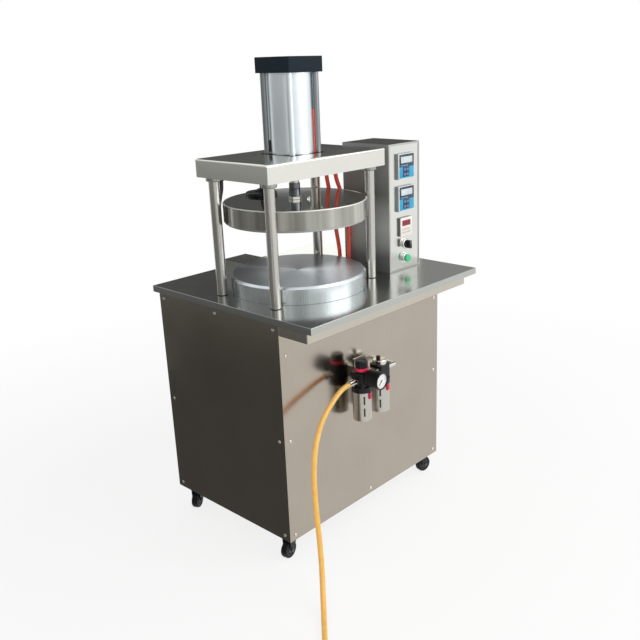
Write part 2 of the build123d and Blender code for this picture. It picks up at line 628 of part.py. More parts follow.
def make_press():
    """What the cylinder pushes: piston and rod, coupling, and the heated upper platen."""
    rod = rod_z(PRESS_X, PRESS_Y, PISTON_TOP - PISTON_H, PISTON_TOP, BORE_D - 2 * PISTON_CLEARANCE)
    rod += rod_z(PRESS_X, PRESS_Y, COUPLING_TOP, PISTON_TOP - PISTON_H, ROD_D)
    save("piston_rod", rod)
    spare = PISTON_TOP - PISTON_H - STROKE - HEAD_TOP
    print("piston above the front cap at full stroke", round(spare, 1))

    nut_top = COVER_TOP + COUPLING_NUT_H
    coupling = rod_z(PRESS_X, PRESS_Y, nut_top, COUPLING_TOP, COUPLING_D)
    coupling = chamfer(coupling.edges().filter_by(GeomType.CIRCLE), BAND_T / 2)
    coupling += hex_z(PRESS_X, PRESS_Y, COVER_TOP, nut_top, COUPLING_NUT_AF)
    coupling += rod_z(PRESS_X, PRESS_Y, COVER_TOP - COUPLING_STUD_L, COVER_TOP, COUPLING_STUD_D)
    save("rod_coupling", coupling)

    outer = UPPER_PLATEN_D
    inner = outer - 2 * BAND_T
    bottom = UPPER_BOTTOM + BAND_RISE
    housing = rod_z(PRESS_X, PRESS_Y, bottom, UPPER_TOP, outer)
    housing = fillet(housing.faces().sort_by(Axis.Z)[-1].edges(), BAND_T / 2)
    housing -= rod_z(PRESS_X, PRESS_Y, bottom, COVER_UNDER - SHELF_T, inner)
    housing -= rod_z(PRESS_X, PRESS_Y, COVER_UNDER - SHELF_T, COVER_UNDER, inner - 2 * SHELF_W)
    housing -= rod_z(PRESS_X, PRESS_Y, COVER_UNDER, UPPER_TOP, inner)
    save("platen_housing", housing)

    hole = COUPLING_STUD_D + 2 * COVER_CLEARANCE
    cover = rod_z(PRESS_X, PRESS_Y, COVER_UNDER, COVER_TOP, inner - 2 * COVER_CLEARANCE)
    cover -= rod_z(PRESS_X, PRESS_Y, COVER_UNDER, COVER_TOP, hole)
    save("platen_cover", cover)

    plate = rod_z(PRESS_X, PRESS_Y, UPPER_BOTTOM, UPPER_BOTTOM + UPPER_PLATE_T, inner - 2 * PLATE_CLEARANCE)
    plate = chamfer(plate.faces().sort_by(Axis.Z)[0].edges(), BAND_T)
    plate += rod_z(PRESS_X, PRESS_Y, UPPER_BOTTOM + UPPER_PLATE_T, COVER_UNDER, PLATE_BOSS_D)
    plate -= rod_z(PRESS_X, PRESS_Y, COVER_TOP - COUPLING_STUD_L, COVER_UNDER, hole)
    save("upper_plate", plate)

    z1 = COVER_TOP + GLAND_FLANGE_H
    z2 = z1 + GLAND_BODY_H
    gland = rod_z(GLAND_X, GLAND_Y, COVER_TOP, z1, GLAND_FLANGE_D)
    gland = fillet(gland.faces().sort_by(Axis.Z)[-1].edges(), GLAND_FLANGE_R)
    gland += hex_z(GLAND_X, GLAND_Y, z1, z2, GLAND_BODY_D)
    gland += rod_z(GLAND_X, GLAND_Y, z2, GLAND_TOP, GLAND_NUT_D)
    save("platen_gland", gland)


def make_lower_platen():
    platen = rod_z(PRESS_X, PRESS_Y, TABLE_TOP, LOWER_TOP, LOWER_PLATEN_D)
    platen = chamfer(platen.faces().sort_by(Axis.Z)[-1].edges(), PLATEN_CHAMFER)
    save("lower_platen", platen)

    back = TABLE_D / 2 - TERMINAL_BACK_INSET
    box = block(PRESS_X - TERMINAL_W / 2, PRESS_X + TERMINAL_W / 2, PRESS_Y, back,
                TABLE_TOP, TABLE_TOP + TERMINAL_H)
    box = chamfer(upright_edges(box).group_by(Axis.Y)[-1], BAND_T)
    box -= rod_z(PRESS_X, PRESS_Y, TABLE_TOP, TABLE_TOP + TERMINAL_H, LOWER_PLATEN_D + 2 * TERMINAL_GAP)
    save("terminal_box", box)


def make_control_box():
    """Folded box with an inward flange round its front, and the panel behind the flange."""
    x1, y1 = BOX_X + BOX_W, BOX_Y + BOX_D
    box = block(BOX_X, x1, BOX_Y, y1, TABLE_TOP, BOX_TOP)
    box -= block(BOX_X + SHEET, x1 - SHEET, PANEL_FACE, y1 - SHEET, TABLE_TOP, BOX_TOP - SHEET)
    box -= block(BOX_X + BOX_FLANGE, x1 - BOX_FLANGE, BOX_Y, PANEL_FACE,
                 TABLE_TOP + BOX_FLANGE, BOX_TOP - BOX_FLANGE)
    save("control_box", box)

    panel = block(BOX_X + SHEET, x1 - SHEET, PANEL_FACE, PANEL_BACK, TABLE_TOP, BOX_TOP - SHEET)
    cutouts = [(z, CONTROLLER_BODY) for z in controller_heights()]
    cutouts.append((BOX_TOP - TIMER_DROP, TIMER_BODY))
    for z, side in cutouts:
        half = side / 2 + CUTOUT_CLEARANCE
        panel -= block(INSTRUMENT_X - half, INSTRUMENT_X + half, PANEL_FACE, PANEL_BACK, z - half, z + half)
    for drop in (SELECTOR_DROP, BUTTON_DROP):
        panel -= rod_y(PANEL_FACE, PANEL_BACK, INSTRUMENT_X, BOX_TOP - drop,
                       BARREL_D + 2 * CUTOUT_CLEARANCE)
    save("control_panel", panel)

    relays = []
    back = y1 - SHEET
    x = BOX_X + BOX_W / 2 - RELAY_GAP / 2 - RELAY_W
    for offset in (0, RELAY_W + RELAY_GAP):
        z = TABLE_TOP + RELAY_Z
        relays.append(block(x + offset, x + offset + RELAY_W, back - RELAY_D, back, z, z + RELAY_H))
    save("power_relays", *relays)


def controller_heights():
    top = BOX_TOP - UPPER_CONTROLLER_DROP
    return top, top - CONTROLLER_PITCH


def instrument(z, side, body, proud, depth):
    """A panel instrument: bezel in front of the panel, body behind it."""
    half = side / 2
    case = block(INSTRUMENT_X - half, INSTRUMENT_X + half, PANEL_FACE - proud, PANEL_FACE, z - half, z + half)
    case = chamfer(case.faces().sort_by(Axis.Y)[0].edges(), BAND_T / 2)
    half, back = body / 2, PANEL_FACE + depth
    return case + block(INSTRUMENT_X - half, INSTRUMENT_X + half, PANEL_FACE, back, z - half, z + half)


def make_instruments():
    controllers = [instrument(z, CONTROLLER_SIDE, CONTROLLER_BODY, CONTROLLER_PROUD, CONTROLLER_DEPTH)
                   for z in controller_heights()]
    save("temperature_controllers", *controllers)
    save("cycle_timer", instrument(BOX_TOP - TIMER_DROP, TIMER_SIDE, TIMER_BODY, TIMER_PROUD, TIMER_DEPTH))

    face = PANEL_FACE - BEZEL_H
    bezels = []
    for drop in (SELECTOR_DROP, BUTTON_DROP):
        z = BOX_TOP - drop
        bezel = rod_y(face, PANEL_FACE, INSTRUMENT_X, z, BEZEL_D)
        bezel = chamfer(bezel.faces().sort_by(Axis.Y)[0].edges(), BAND_T)
        bezel += rod_y(PANEL_FACE, PANEL_FACE + BARREL_L, INSTRUMENT_X, z, BARREL_D)
        bezel -= rod_y(face, PANEL_FACE + BUTTON_L, INSTRUMENT_X, z, SWITCH_BORE)
        bezels.append(bezel)
    save("switch_bezels", *bezels)

    z = BOX_TOP - SELECTOR_DROP
    base = face - SWITCH_GAP
    front = base - SELECTOR_KNOB_H
    knob = rod_y(front, base, INSTRUMENT_X, z, SELECTOR_KNOB_D)
    knob += rod_y(base, PANEL_FACE, INSTRUMENT_X, z, SELECTOR_SHAFT_D)
    half = SELECTOR_KNOB_D / 2
    for side in (-1, 1):
        x0, x1 = sorted((INSTRUMENT_X + side * SELECTOR_GRIP_W / 2, INSTRUMENT_X + side * half))
        knob -= block(x0, x1, front, front + SELECTOR_GRIP_H, z - half, z + half)
    save("selector_knob", knob)

    z = BOX_TOP - BUTTON_DROP
    button = rod_y(face - BUTTON_PROUD, face - BUTTON_PROUD + BUTTON_L, INSTRUMENT_X, z, BUTTON_D)
    button = fillet(button.faces().sort_by(Axis.Y)[0].edges(), BAND_T / 2)
    save("start_button", button)


def bowl(x, slot_turn):
    """Metal bowl guard with two short sight slots on each of four sides."""
    cup = rod_z(x, FRL_Y, FRL_BOWL_BOTTOM, BOWL_TOP, BOWL_D)
    cup = fillet(cup.faces().sort_by(Axis.Z)[0].edges(), BOWL_FOOT_R)
    reach = BOWL_D / 2
    for turn in (45, 135, 225, 315):
        for step in (0, 1):
            z = BOWL_TOP - BOWL_SLOT_DROP - step * BOWL_SLOT_PITCH
            slot = block(reach - BOWL_SLOT_DEPTH, reach, -BOWL_SLOT_W / 2, BOWL_SLOT_W / 2,
                         z - BOWL_SLOT_H / 2, z + BOWL_SLOT_H / 2)
            cup -= Pos(x, FRL_Y, 0) * Rot(0, 0, turn + slot_turn) * slot
    return cup


def frl_head(x):
    """Body block with the ring that holds a bowl."""
    body = post_block(x, FRL_Y, FRL_BODY_BOTTOM, FRL_BODY_TOP, FRL_BODY_SIDE, FRL_BODY_SIDE)
    body = fillet(upright_edges(body), FRL_BODY_R)
    return body + rod_z(x, FRL_Y, BOWL_TOP, FRL_BODY_BOTTOM, COLLAR_RING_D)


def make_air_unit():
    front_face = FRL_Y - FRL_BODY_SIDE / 2
    regulator = frl_head(REGULATOR_X)
    regulator += rod_z(REGULATOR_X, FRL_Y, FRL_BODY_TOP, BONNET_TOP, BONNET_D)
    save("regulator_body", regulator)
    save("frl_bowls", bowl(REGULATOR_X, FILTER_SLOT_TURN), bowl(LUBRICATOR_X, LUBRICATOR_SLOT_TURN))

    ring_bottom = BONNET_TOP + KNOB_GAP
    knob = rod_z(REGULATOR_X, FRL_Y, ring_bottom, ring_bottom + KNOB_RING_H, KNOB_RING_D)
    grip_top = ring_bottom + KNOB_RING_H + KNOB_H
    grip = Pos(REGULATOR_X, FRL_Y, ring_bottom + KNOB_RING_H) * extrude(
        RegularPolygon(KNOB_D / 2, KNOB_FLATS, major_radius=False), KNOB_H)
    grip = chamfer(grip.faces().sort_by(Axis.Z)[-1].edges(), BAND_T)
    save("regulator_knob", knob + grip)

    lubricator = frl_head(LUBRICATOR_X)
    dome = rod_z(LUBRICATOR_X, FRL_Y, FRL_BODY_TOP, DOME_TOP, DOME_D)
    dome = fillet(dome.faces().sort_by(Axis.Z)[-1].edges(), DOME_H / 3)
    x = LUBRICATOR_X + ADJUSTER_DX
    stem_bore = ADJUSTER_STEM_D + 2 * ADJUSTER_CLEARANCE
    dome -= rod_z(x, FRL_Y, DOME_TOP - ADJUSTER_STEM_L, DOME_TOP, stem_bore)
    save("lubricator_body", lubricator + dome)

    seat = DOME_TOP + ADJUSTER_CLEARANCE
    adjuster = rod_z(x, FRL_Y, seat, seat + ADJUSTER_H, ADJUSTER_D)
    adjuster = chamfer(adjuster.faces().sort_by(Axis.Z)[-1].edges(), BAND_T / 2)
    adjuster += rod_z(x, FRL_Y, DOME_TOP - ADJUSTER_STEM_L + ADJUSTER_CLEARANCE, seat, ADJUSTER_STEM_D)
    save("lubricator_adjuster", adjuster)

    for name, x in (("filter_lock", REGULATOR_X), ("lubricator_lock", LUBRICATOR_X)):
        back = FRL_Y - BOWL_D / 2 - LOCK_GAP
        top = BOWL_TOP - LOCK_GAP
        tab = block(x - LOCK_W / 2, x + LOCK_W / 2, back - LOCK_T, back, top - LOCK_H, top)
        save(name, fillet(tab.faces().sort_by(Axis.Y)[0].edges(), BAND_T / 2))

    gauge = rod_y(GAUGE_FACE, GAUGE_BACK, REGULATOR_X, GAUGE_Z, GAUGE_D)
    gauge = fillet(gauge.faces().sort_by(Axis.Y)[0].edges(), BAND_T / 2)
    gauge -= rod_y(GAUGE_FACE, DIAL_FACE, REGULATOR_X, GAUGE_Z, GAUGE_D - 2 * GAUGE_RIM)
    gauge += rod_y(GAUGE_BACK, front_face, REGULATOR_X, GAUGE_Z, GAUGE_STEM_D)
    save("gauge_case", gauge)

    y1 = DIAL_FACE - NEEDLE_LIFT
    y0 = y1 - NEEDLE_T
    needle = block(REGULATOR_X - NEEDLE_W / 2, REGULATOR_X + NEEDLE_W / 2, y0, y1,
                   GAUGE_Z - NEEDLE_TAIL, GAUGE_Z + NEEDLE_L)
    needle += rod_y(y0, y1, REGULATOR_X, GAUGE_Z, NEEDLE_HUB_D)
    turn = Pos(REGULATOR_X, 0, GAUGE_Z) * Rot(0, NEEDLE_REST, 0) * Pos(-REGULATOR_X, 0, -GAUGE_Z)
    save("gauge_needle", turn * needle)

    inner = REGULATOR_X + FRL_BODY_SIDE / 2
    outer = LUBRICATOR_X - FRL_BODY_SIDE / 2
    middle = (inner + outer) / 2
    half = SPACER_SIDE / 2
    bracket = block(inner, outer, FRL_Y - half, FRL_Y + half, PORT_Z - half, PORT_Z + half)
    bracket += block(inner, outer, FRL_Y, CAB_FRONT, PORT_Z + half - BRACKET_T, PORT_Z + half)
    bracket += block(middle - BRACKET_W / 2, middle + BRACKET_W / 2, CAB_FRONT - BRACKET_T, CAB_FRONT,
                     PORT_Z - half, PORT_Z + half + BRACKET_RISE)
    save("frl_bracket", bracket)

    x = REGULATOR_X - FRL_BODY_SIDE / 2
    barb = hex_x(x - BARB_NUT_L, x, FRL_Y, PORT_Z, BARB_NUT_AF)
    barb += rod_x(HOSE_EXIT_X, x - BARB_NUT_L, FRL_Y, PORT_Z, FERRULE_D)
    x = LUBRICATOR_X + FRL_BODY_SIDE / 2
    outlet = hex_x(x, x + OUTLET_NUT_L, FRL_Y, PORT_Z, BARB_NUT_AF)
    outlet += rod_x(x + OUTLET_NUT_L, OUTLET_X, FRL_Y, PORT_Z, OUTLET_D)
    outlet += Pos(OUTLET_X, FRL_Y, PORT_Z) * Sphere(OUTLET_D / 2)
    outlet += rod_y(FRL_Y, FRAME_FRONT, OUTLET_X, PORT_Z, OUTLET_D)
    outlet += rod_y(CAB_FRONT - BULKHEAD_L, CAB_FRONT, OUTLET_X, PORT_Z, BULKHEAD_D)
    save("frl_fittings", barb, outlet)


def make_valve():
    """Two-coil air valve on the inside of the front panel."""
    y0 = FRAME_FRONT
    body = block(REGULATOR_X, REGULATOR_X + VALVE_W, y0, y0 + VALVE_D, VALVE_Z, VALVE_Z + VALVE_H)
    centre_y, centre_z = y0 + VALVE_D / 2, VALVE_Z + VALVE_H / 2
    half = COIL_SIDE / 2
    right = REGULATOR_X + VALVE_W
    for x0, x1 in ((REGULATOR_X - COIL_L, REGULATOR_X), (right, right + COIL_L)):
        body += block(x0, x1, centre_y - half, centre_y + half, centre_z - half, centre_z + half)
    save("solenoid_valve", body)


def bulkhead(x, y, z, up):
    """Push-in bulkhead: collar on one side of a sheet, thread through it and nut on the other."""
    side, sheet = (1, SHEET) if up else (-1, BEAM_PLATE_T)
    collar = sorted((z, z + side * TUBE_FITTING_H))
    through = sorted((z, z - side * sheet))
    nut = sorted((z - side * sheet, z - side * (sheet + FITTING_NUT_H)))
    return (rod_z(x, y, *collar, TUBE_FITTING_D) + rod_z(x, y, *through, TUBE_BARREL_D)
            + hex_z(x, y, *nut, TUBE_FITTING_D))


def pipe(points):
    route = FilletPolyline(*points, radius=PIPE_BEND_R)
    return sweep(Plane(route @ 0, z_dir=route % 0) * Circle(PIPE_D / 2), path=route)


def make_air_fittings():
    """Bulkheads for the two tubes, and the rigid pipes from the head to the cylinder's ports."""
    pieces = [bulkhead(x, y, TABLE_TOP, True) for x, y in (LEFT_TUBE_TABLE, RIGHT_TUBE_TABLE)]
    pieces += [bulkhead(x, y, SKIRT_BOTTOM, False) for x, y in (LEFT_TUBE_HEAD, RIGHT_TUBE_HEAD)]
    base = PLATE_TOP + FITTING_NUT_H
    cap_face = PRESS_X + CAP_SIDE / 2
    riser_x, riser_y = PRESS_X + RISER_DX, PRESS_Y + RISER_DY
    x, y = RIGHT_TUBE_HEAD
    high = PLATE_TOP + HIGH_PIPE_RISE
    pieces.append(pipe([(x, y, base), (x, y, high), (x, PRESS_Y - RISER_DY, high),
                        (cap_face, PRESS_Y - RISER_DY, high)]))
    x, y = LEFT_TUBE_HEAD
    low = PLATE_TOP + FITTING_NUT_H + LOW_PIPE_RISE
    port = CYLINDER_TOP - REAR_PORT_DROP
    pieces.append(pipe([(x, y, base), (x, y, low), (riser_x, y, low), (riser_x, riser_y, low),
                        (riser_x, riser_y, port), (cap_face, riser_y, port)]))
    save("air_fittings", *pieces)


def make_casters():
    """Swivel casters: fixed plate, turning fork with its axle, and wheel."""
    plates = []
    plate_bottom = CASTER_H - CASTER_PLATE_T
    swivel_bottom = plate_bottom - SWIVEL_H
    crown_top = swivel_bottom - SWIVEL_GAP
    crown_bottom = crown_top - FORK_CROWN_T
    axle_z = WHEEL_D / 2
    inside = WHEEL_W / 2 + FORK_GAP
    outside = inside + FORK_T
    for corner, yaw in CASTER_YAW.items():
        x, y = caster_place(corner)
        plate = post_block(x, y, plate_bottom, CASTER_H, CASTER_PLATE, CASTER_PLATE)
        plates.append(plate + rod_z(x, y, swivel_bottom, plate_bottom, SWIVEL_D))

        fork = rod_z(0, 0, crown_bottom, crown_top, SWIVEL_D)
        fork += block(0, TRAIL, -outside, outside, crown_bottom, crown_top)
        for y0, y1 in ((-outside, -inside), (inside, outside)):
            with BuildSketch(Plane.XZ) as cheek:
                with BuildLine():
                    Polyline((-SWIVEL_D / 3, crown_top), (TRAIL + SWIVEL_D / 4, crown_top),
                             (TRAIL + AXLE_D, axle_z), (TRAIL, axle_z - AXLE_D),
                             (TRAIL - AXLE_D, axle_z), close=True)
                make_face()
            fork += Pos(0, y1, 0) * extrude(cheek.sketch, y1 - y0)
        fork += rod_y(-outside, outside, TRAIL, axle_z, AXLE_D)
        place = Pos(x, y, 0) * Rot(0, 0, yaw)
        save(f"caster_fork_{corner}", place * fork)

        bore = AXLE_D + 2 * WHEEL_BORE_CLEARANCE
        wheel = rod_y(-WHEEL_W / 2, WHEEL_W / 2, TRAIL, axle_z, WHEEL_D)
        wheel = fillet(wheel.edges().filter_by(GeomType.CIRCLE), BAND_T)
        wheel -= rod_y(-WHEEL_W / 2, WHEEL_W / 2, TRAIL, axle_z, bore)
        save(f"caster_wheel_{corner}", place * wheel)
    save("caster_plates", *plates)


def caster_place(corner):
    x = CAB_X - CASTER_INSET
    if "left" in corner:
        x = -x
    y = CAB_FRONT + CASTER_INSET if "front" in corner else CAB_BACK - CASTER_INSET
    return x, y


def corner_radii(points):
    """Largest tangent arc that each corner of a route allows."""
    radii = []
    for a, b, c in zip(points, points[1:], points[2:]):
        before, after = Vector(*b) - Vector(*a), Vector(*c) - Vector(*b)
        turn = radians(before.get_angle(after))
        radii.append(0.45 * min(before.length, after.length) / tan(turn / 2))
    return radii


def cord(name, diameter, points, *ends):
    """Tube along straight runs joined by tangent arcs, with the pieces at its ends."""
    radii = corner_radii(points)
    route = FilletPolyline(*points, radius=radii)
    tube = sweep(Plane(route @ 0, z_dir=route % 0) * Circle(diameter / 2), path=route)
    expected = pi * diameter ** 2 / 4 * route.length
    print(name, "length", round(route.length, 1), "radii", [round(r) for r in radii],
          "volume ratio", round(tube.volume / expected, 4))
    save(name, tube, *ends)


def tube_route(head, table, line):
    """Points of a tube that hangs from a fitting in the head to one in the table."""
    (x0, y0), (x1, y1) = head, table
    drop = HEAD_FITTING_BOTTOM - FITTING_TOP
    points = [(x0, y0, HEAD_FITTING_BOTTOM)]
    for down, across in line:
        sideways = min(across, 1.0) if down > 0.5 else 0.0
        points.append((x0 + across * (x1 - x0), y0 + sideways * (y1 - y0), HEAD_FITTING_BOTTOM - down * drop))
    return points + [(x1, y1, FITTING_TOP)]


def make_air_tubes():
    """Two air tubes that hang between the head and the table."""
    cord("left_air_tube", TUBE_D, tube_route(LEFT_TUBE_HEAD, LEFT_TUBE_TABLE, LEFT_TUBE_LINE))
    cord("right_air_tube", TUBE_D, tube_route(RIGHT_TUBE_HEAD, RIGHT_TUBE_TABLE, RIGHT_TUBE_LINE))


def make_conduits():
    """Black conduits: one from the head to the moving platen, one from the head to the table."""
    x, y = GLAND_X, GLAND_Y
    x1, y1 = x + CABLE_LEAN, y - CABLE_LEAN
    cord("platen_conduit", PLATEN_CABLE_D, [
        (x, y, GLAND_TOP), (x, y, GLAND_TOP + CABLE_RUN),
        (x1, y1, SKIRT_BOTTOM - CABLE_RUN), (x1, y1, SKIRT_BOTTOM)])
    x, y = COLUMN_CONDUIT
    taper_top = SKIRT_BOTTOM - CONDUIT_GLAND_H
    taper_bottom = taper_top - CONDUIT_TAPER_H
    gland = rod_z(x, y, taper_top, SKIRT_BOTTOM, CONDUIT_GLAND_D)
    gland += Pos(x, y, (taper_top + taper_bottom) / 2) * Cone(
        CONDUIT_D / 2 + BAND_T, CONDUIT_GLAND_D / 2 - BAND_T / 2, CONDUIT_TAPER_H)
    points = [(x, y, taper_bottom)]
    for down, across in CONDUIT_LINE:
        points.append((x - across * CONDUIT_SWING, y + across * CONDUIT_BACK, SKIRT_BOTTOM - down * COLUMN_H))
    points.append((x - CONDUIT_SWING, y + CONDUIT_BACK, TABLE_TOP))
    cord("column_conduit", CONDUIT_D, points, gland)


def biarc(p0, t0, p1, t1):
    """Two arcs that meet smoothly, from one point and direction to another."""
    v, t = p1 - p0, t0 + t1
    k = 2 * (1 - t0.dot(t1))
    d = (-v.dot(t) + sqrt(v.dot(t) ** 2 + k * v.dot(v))) / k
    joint = (p0 + p1 + (t0 - t1) * d) / 2
    first = TangentArc(p0, joint, tangent=t0)
    return first, TangentArc(joint, p1, tangent=first % 1)


HOSE_EXIT = (HOSE_EXIT_X, FRL_Y, PORT_Z)
HOSE_FLOOR_Z = HOSE_D / 2
HOSE_ROUTE = [HOSE_EXIT] + [
    (HOSE_EXIT_X - left, FRL_Y - ahead, HOSE_FLOOR_Z + share * (PORT_Z - HOSE_FLOOR_Z))
    for left, ahead, share in HOSE_FALL]
HOSE_COIL_PITCH = HOSE_D + HOSE_COIL_GAP


def coil_point(turn):
    """Centre line of the put-away coil after a number of turns: in, up a layer, and out again."""
    outer = HOSE_COIL_MEAN_R + HOSE_COIL_PITCH * HOSE_COIL_TURNS / 2
    inner = outer - HOSE_COIL_PITCH * HOSE_COIL_TURNS
    z = HOSE_FLOOR_Z
    if turn < HOSE_COIL_TURNS:
        radius = outer - HOSE_COIL_PITCH * turn
    elif turn < HOSE_COIL_TURNS + 0.5:
        climb = 2 * pi * (turn - HOSE_COIL_TURNS)
        radius = inner - HOSE_COIL_PITCH * sin(climb) / (2 * pi)
        z += HOSE_COIL_PITCH * (1 - cos(climb)) / 2
    else:
        radius = inner + HOSE_COIL_PITCH * (turn - HOSE_COIL_TURNS - 0.5)
        z += HOSE_COIL_PITCH
    start, before = Vector(*HOSE_ROUTE[-1]), Vector(*HOSE_ROUTE[-2])
    ahead = Vector(start.X - before.X, start.Y - before.Y, 0).normalized()
    across = Vector(ahead.Y, -ahead.X, 0)
    centre = Vector(start.X, start.Y, 0) + ahead * HOSE_D + across * outer
    angle = 2 * pi * turn
    return centre - across * (radius * cos(angle)) + ahead * (radius * sin(angle)) + Vector(0, 0, z)


def coil_direction(turn):
    step = 0.002
    return (coil_point(turn + step) - coil_point(turn - step)).normalized()


def least_gap(points, spacing, diameter):
    """Least clear distance between parts of a wound tube that are not neighbours along it."""
    skip = int(2.5 * diameter / spacing) + 1
    least = min((a - b).length for i, a in enumerate(points) for b in points[i + skip:])
    return least - diameter


def make_hose():
    cord("air_hose", HOSE_D, HOSE_ROUTE)
    total = HOSE_COIL_TURNS + 0.5 + HOSE_COIL_OUTER_TURNS
    quarters = int(total * 4)
    turns = [total * i / quarters for i in range(quarters + 1)]
    start = Vector(*HOSE_ROUTE[-1])
    first = coil_point(0)
    lead = (first - start).normalized()
    edges = [Line(start, first)]
    point, direction = first, lead
    for turn in turns[1:]:
        after, heading = coil_point(turn), coil_direction(turn)
        edges.extend(biarc(point, direction, after, heading))
        point, direction = after, heading
    end = point + direction * HOSE_D
    edges.append(Line(point, end))
    route = Wire(edges)
    coil = sweep(Plane(start, z_dir=lead) * Circle(HOSE_D / 2), path=route)
    samples = 800
    spacing = route.length / samples
    points = [route.position_at(i / samples) for i in range(samples + 1)]
    expected = pi * HOSE_D ** 2 / 4 * route.length
    gap = least_gap(points, spacing, HOSE_D)
    print("hose_coil length", round(route.length, 1), "least gap", round(gap, 2),
          "volume ratio", round(coil.volume / expected, 4))
    save("hose_coil", coil)

    grip = Plane(end, z_dir=direction)
    coupler = grip * Cylinder(COUPLER_D / 2, COUPLER_L, align=(Align.CENTER, Align.CENTER, Align.MIN))
    coupler = chamfer(coupler.edges().filter_by(GeomType.CIRCLE), BAND_T / 2)
    tip = Plane(end + direction * COUPLER_L, z_dir=direction)
    coupler += tip * Cylinder(SPIGOT_D / 2, SPIGOT_L, align=(Align.CENTER, Align.CENTER, Align.MIN))
    save("hose_coupler", coupler)


def main():
    os.makedirs("parts", exist_ok=True)
    make_table_top()
    make_table_frame()
    make_cabinet_frame()
    make_panels()
    make_panel_screws()
    make_columns()
    make_head()
    make_cylinder()
    make_press()
    make_lower_platen()
    make_control_box()
    make_instruments()
    make_air_unit()
    make_valve()
    make_air_fittings()
    make_casters()
    make_air_tubes()
    make_conduits()
    make_hose()


main()
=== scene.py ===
import json
import math

import bpy
from mathutils import Matrix, Vector


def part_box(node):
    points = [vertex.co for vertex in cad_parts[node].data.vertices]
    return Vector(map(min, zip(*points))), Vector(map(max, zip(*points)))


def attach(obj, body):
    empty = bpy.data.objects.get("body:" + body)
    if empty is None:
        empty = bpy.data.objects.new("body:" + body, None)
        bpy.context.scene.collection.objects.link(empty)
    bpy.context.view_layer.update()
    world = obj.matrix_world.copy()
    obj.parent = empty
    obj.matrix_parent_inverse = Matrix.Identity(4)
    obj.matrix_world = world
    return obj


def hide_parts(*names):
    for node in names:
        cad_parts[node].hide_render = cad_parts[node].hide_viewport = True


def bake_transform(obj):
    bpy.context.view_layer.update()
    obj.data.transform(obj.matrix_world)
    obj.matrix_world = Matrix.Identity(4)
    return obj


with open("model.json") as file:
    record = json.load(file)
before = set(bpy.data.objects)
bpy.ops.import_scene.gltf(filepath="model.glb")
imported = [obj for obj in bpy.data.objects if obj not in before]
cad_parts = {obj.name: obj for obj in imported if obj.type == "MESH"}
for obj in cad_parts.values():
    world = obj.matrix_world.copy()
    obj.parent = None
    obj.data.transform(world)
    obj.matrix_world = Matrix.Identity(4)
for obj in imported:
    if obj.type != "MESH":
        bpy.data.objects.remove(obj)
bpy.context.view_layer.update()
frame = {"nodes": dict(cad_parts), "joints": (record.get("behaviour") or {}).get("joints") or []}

# Camera
# It stands off the machine's front left corner, a little above the table, and looks down at it.
# Lens, place and tilt give the photograph's view of the table, the head and the cabinet.
PICTURE_PX = 640
FOCAL_PX = 778.66
AXIS_PX_X = 355.73
AXIS_PX_Y = 314.85
SENSOR_MM = 36.0
CAMERA_PLACE = Vector((-1.56224, -1.53904, 1.30605))
CAMERA_TURN = math.radians(-48.234)
CAMERA_TILT = math.radians(17.985)
CAMERA_ROLL = math.radians(-1.509)
UP = (0, 0, 1)


def placed(name, data):
    """A new object in the scene, made from its data."""
    thing = bpy.data.objects.new(name, data)
    bpy.context.scene.collection.objects.link(thing)
    return thing


camera_data = bpy.data.cameras.new("camera")
camera = placed("camera", camera_data)
bpy.context.scene.camera = camera
camera_data.sensor_width = SENSOR_MM
camera_data.lens = FOCAL_PX * SENSOR_MM / PICTURE_PX
camera_data.shift_x = (PICTURE_PX / 2 - AXIS_PX_X) / PICTURE_PX
camera_data.shift_y = (AXIS_PX_Y - PICTURE_PX / 2) / PICTURE_PX
behind = Vector((math.sin(CAMERA_TURN) * math.cos(CAMERA_TILT),
                 -math.cos(CAMERA_TURN) * math.cos(CAMERA_TILT), math.sin(CAMERA_TILT)))
sideways = (-behind).cross(Vector(UP)).normalized()
upward = sideways.cross(-behind)
rolled_side = sideways * math.cos(CAMERA_ROLL) + upward * math.sin(CAMERA_ROLL)
rolled_up = upward * math.cos(CAMERA_ROLL) - sideways * math.sin(CAMERA_ROLL)
turned_to_object = Matrix((rolled_side, rolled_up, behind)).transposed().to_4x4()
camera.matrix_world = Matrix.Translation(CAMERA_PLACE) @ turned_to_object

# Studio
# A plain pale floor and an even pale surround, a large soft lamp at the front right and a weak one left.
# Grey cards stand where the polished steel mirrors the room: left, behind and towards the camera.
bpy.context.scene.view_settings.view_transform = "Standard"
SURROUND_COLOUR = (1.0, 1.0, 1.0, 1.0)
SURROUND_LIGHT = 0.60
FLOOR_SIZE = 9.0
FLOOR_COLOUR = (0.90, 0.90, 0.89, 1.0)
FLOOR_ROUGHNESS = 0.9
FLOOR_GLOW = 0.80
FLOOR_FADE_START = 0.9
FLOOR_FADE_END = 2.3
CARD_WARMTH = 0.97
TO_CAMERA = (-0.746, -0.666, 0)
FROM_CAMERA = (0.72, 0.69, 0)


def plug(tree, node, inputs):
    """A node's inputs, each set to a value or joined to another node's output."""
    for socket, value in inputs.items():
        if isinstance(value, bpy.types.NodeSocket):
            tree.links.new(value, node.inputs[socket])
        else:
            node.inputs[socket].default_value = value


def wired(tree, kind, inputs, **settings):
    """A new node with its settings and its inputs."""
    node = tree.nodes.new(kind)
    for setting, value in settings.items():
        setattr(node, setting, value)
    plug(tree, node, inputs)
    return node


def spanned(tree, value, first, last, low, high):
    """A value's span from first to last, carried over to one from low to high."""
    return wired(tree, "ShaderNodeMapRange", {
        "Value": value, "From Min": first, "From Max": last, "To Min": low, "To Max": high}).outputs["Result"]


def maths(tree, operation, *values):
    """The result of a sum on values or on other nodes' outputs."""
    return wired(tree, "ShaderNodeMath", dict(enumerate(values)), operation=operation).outputs[0]


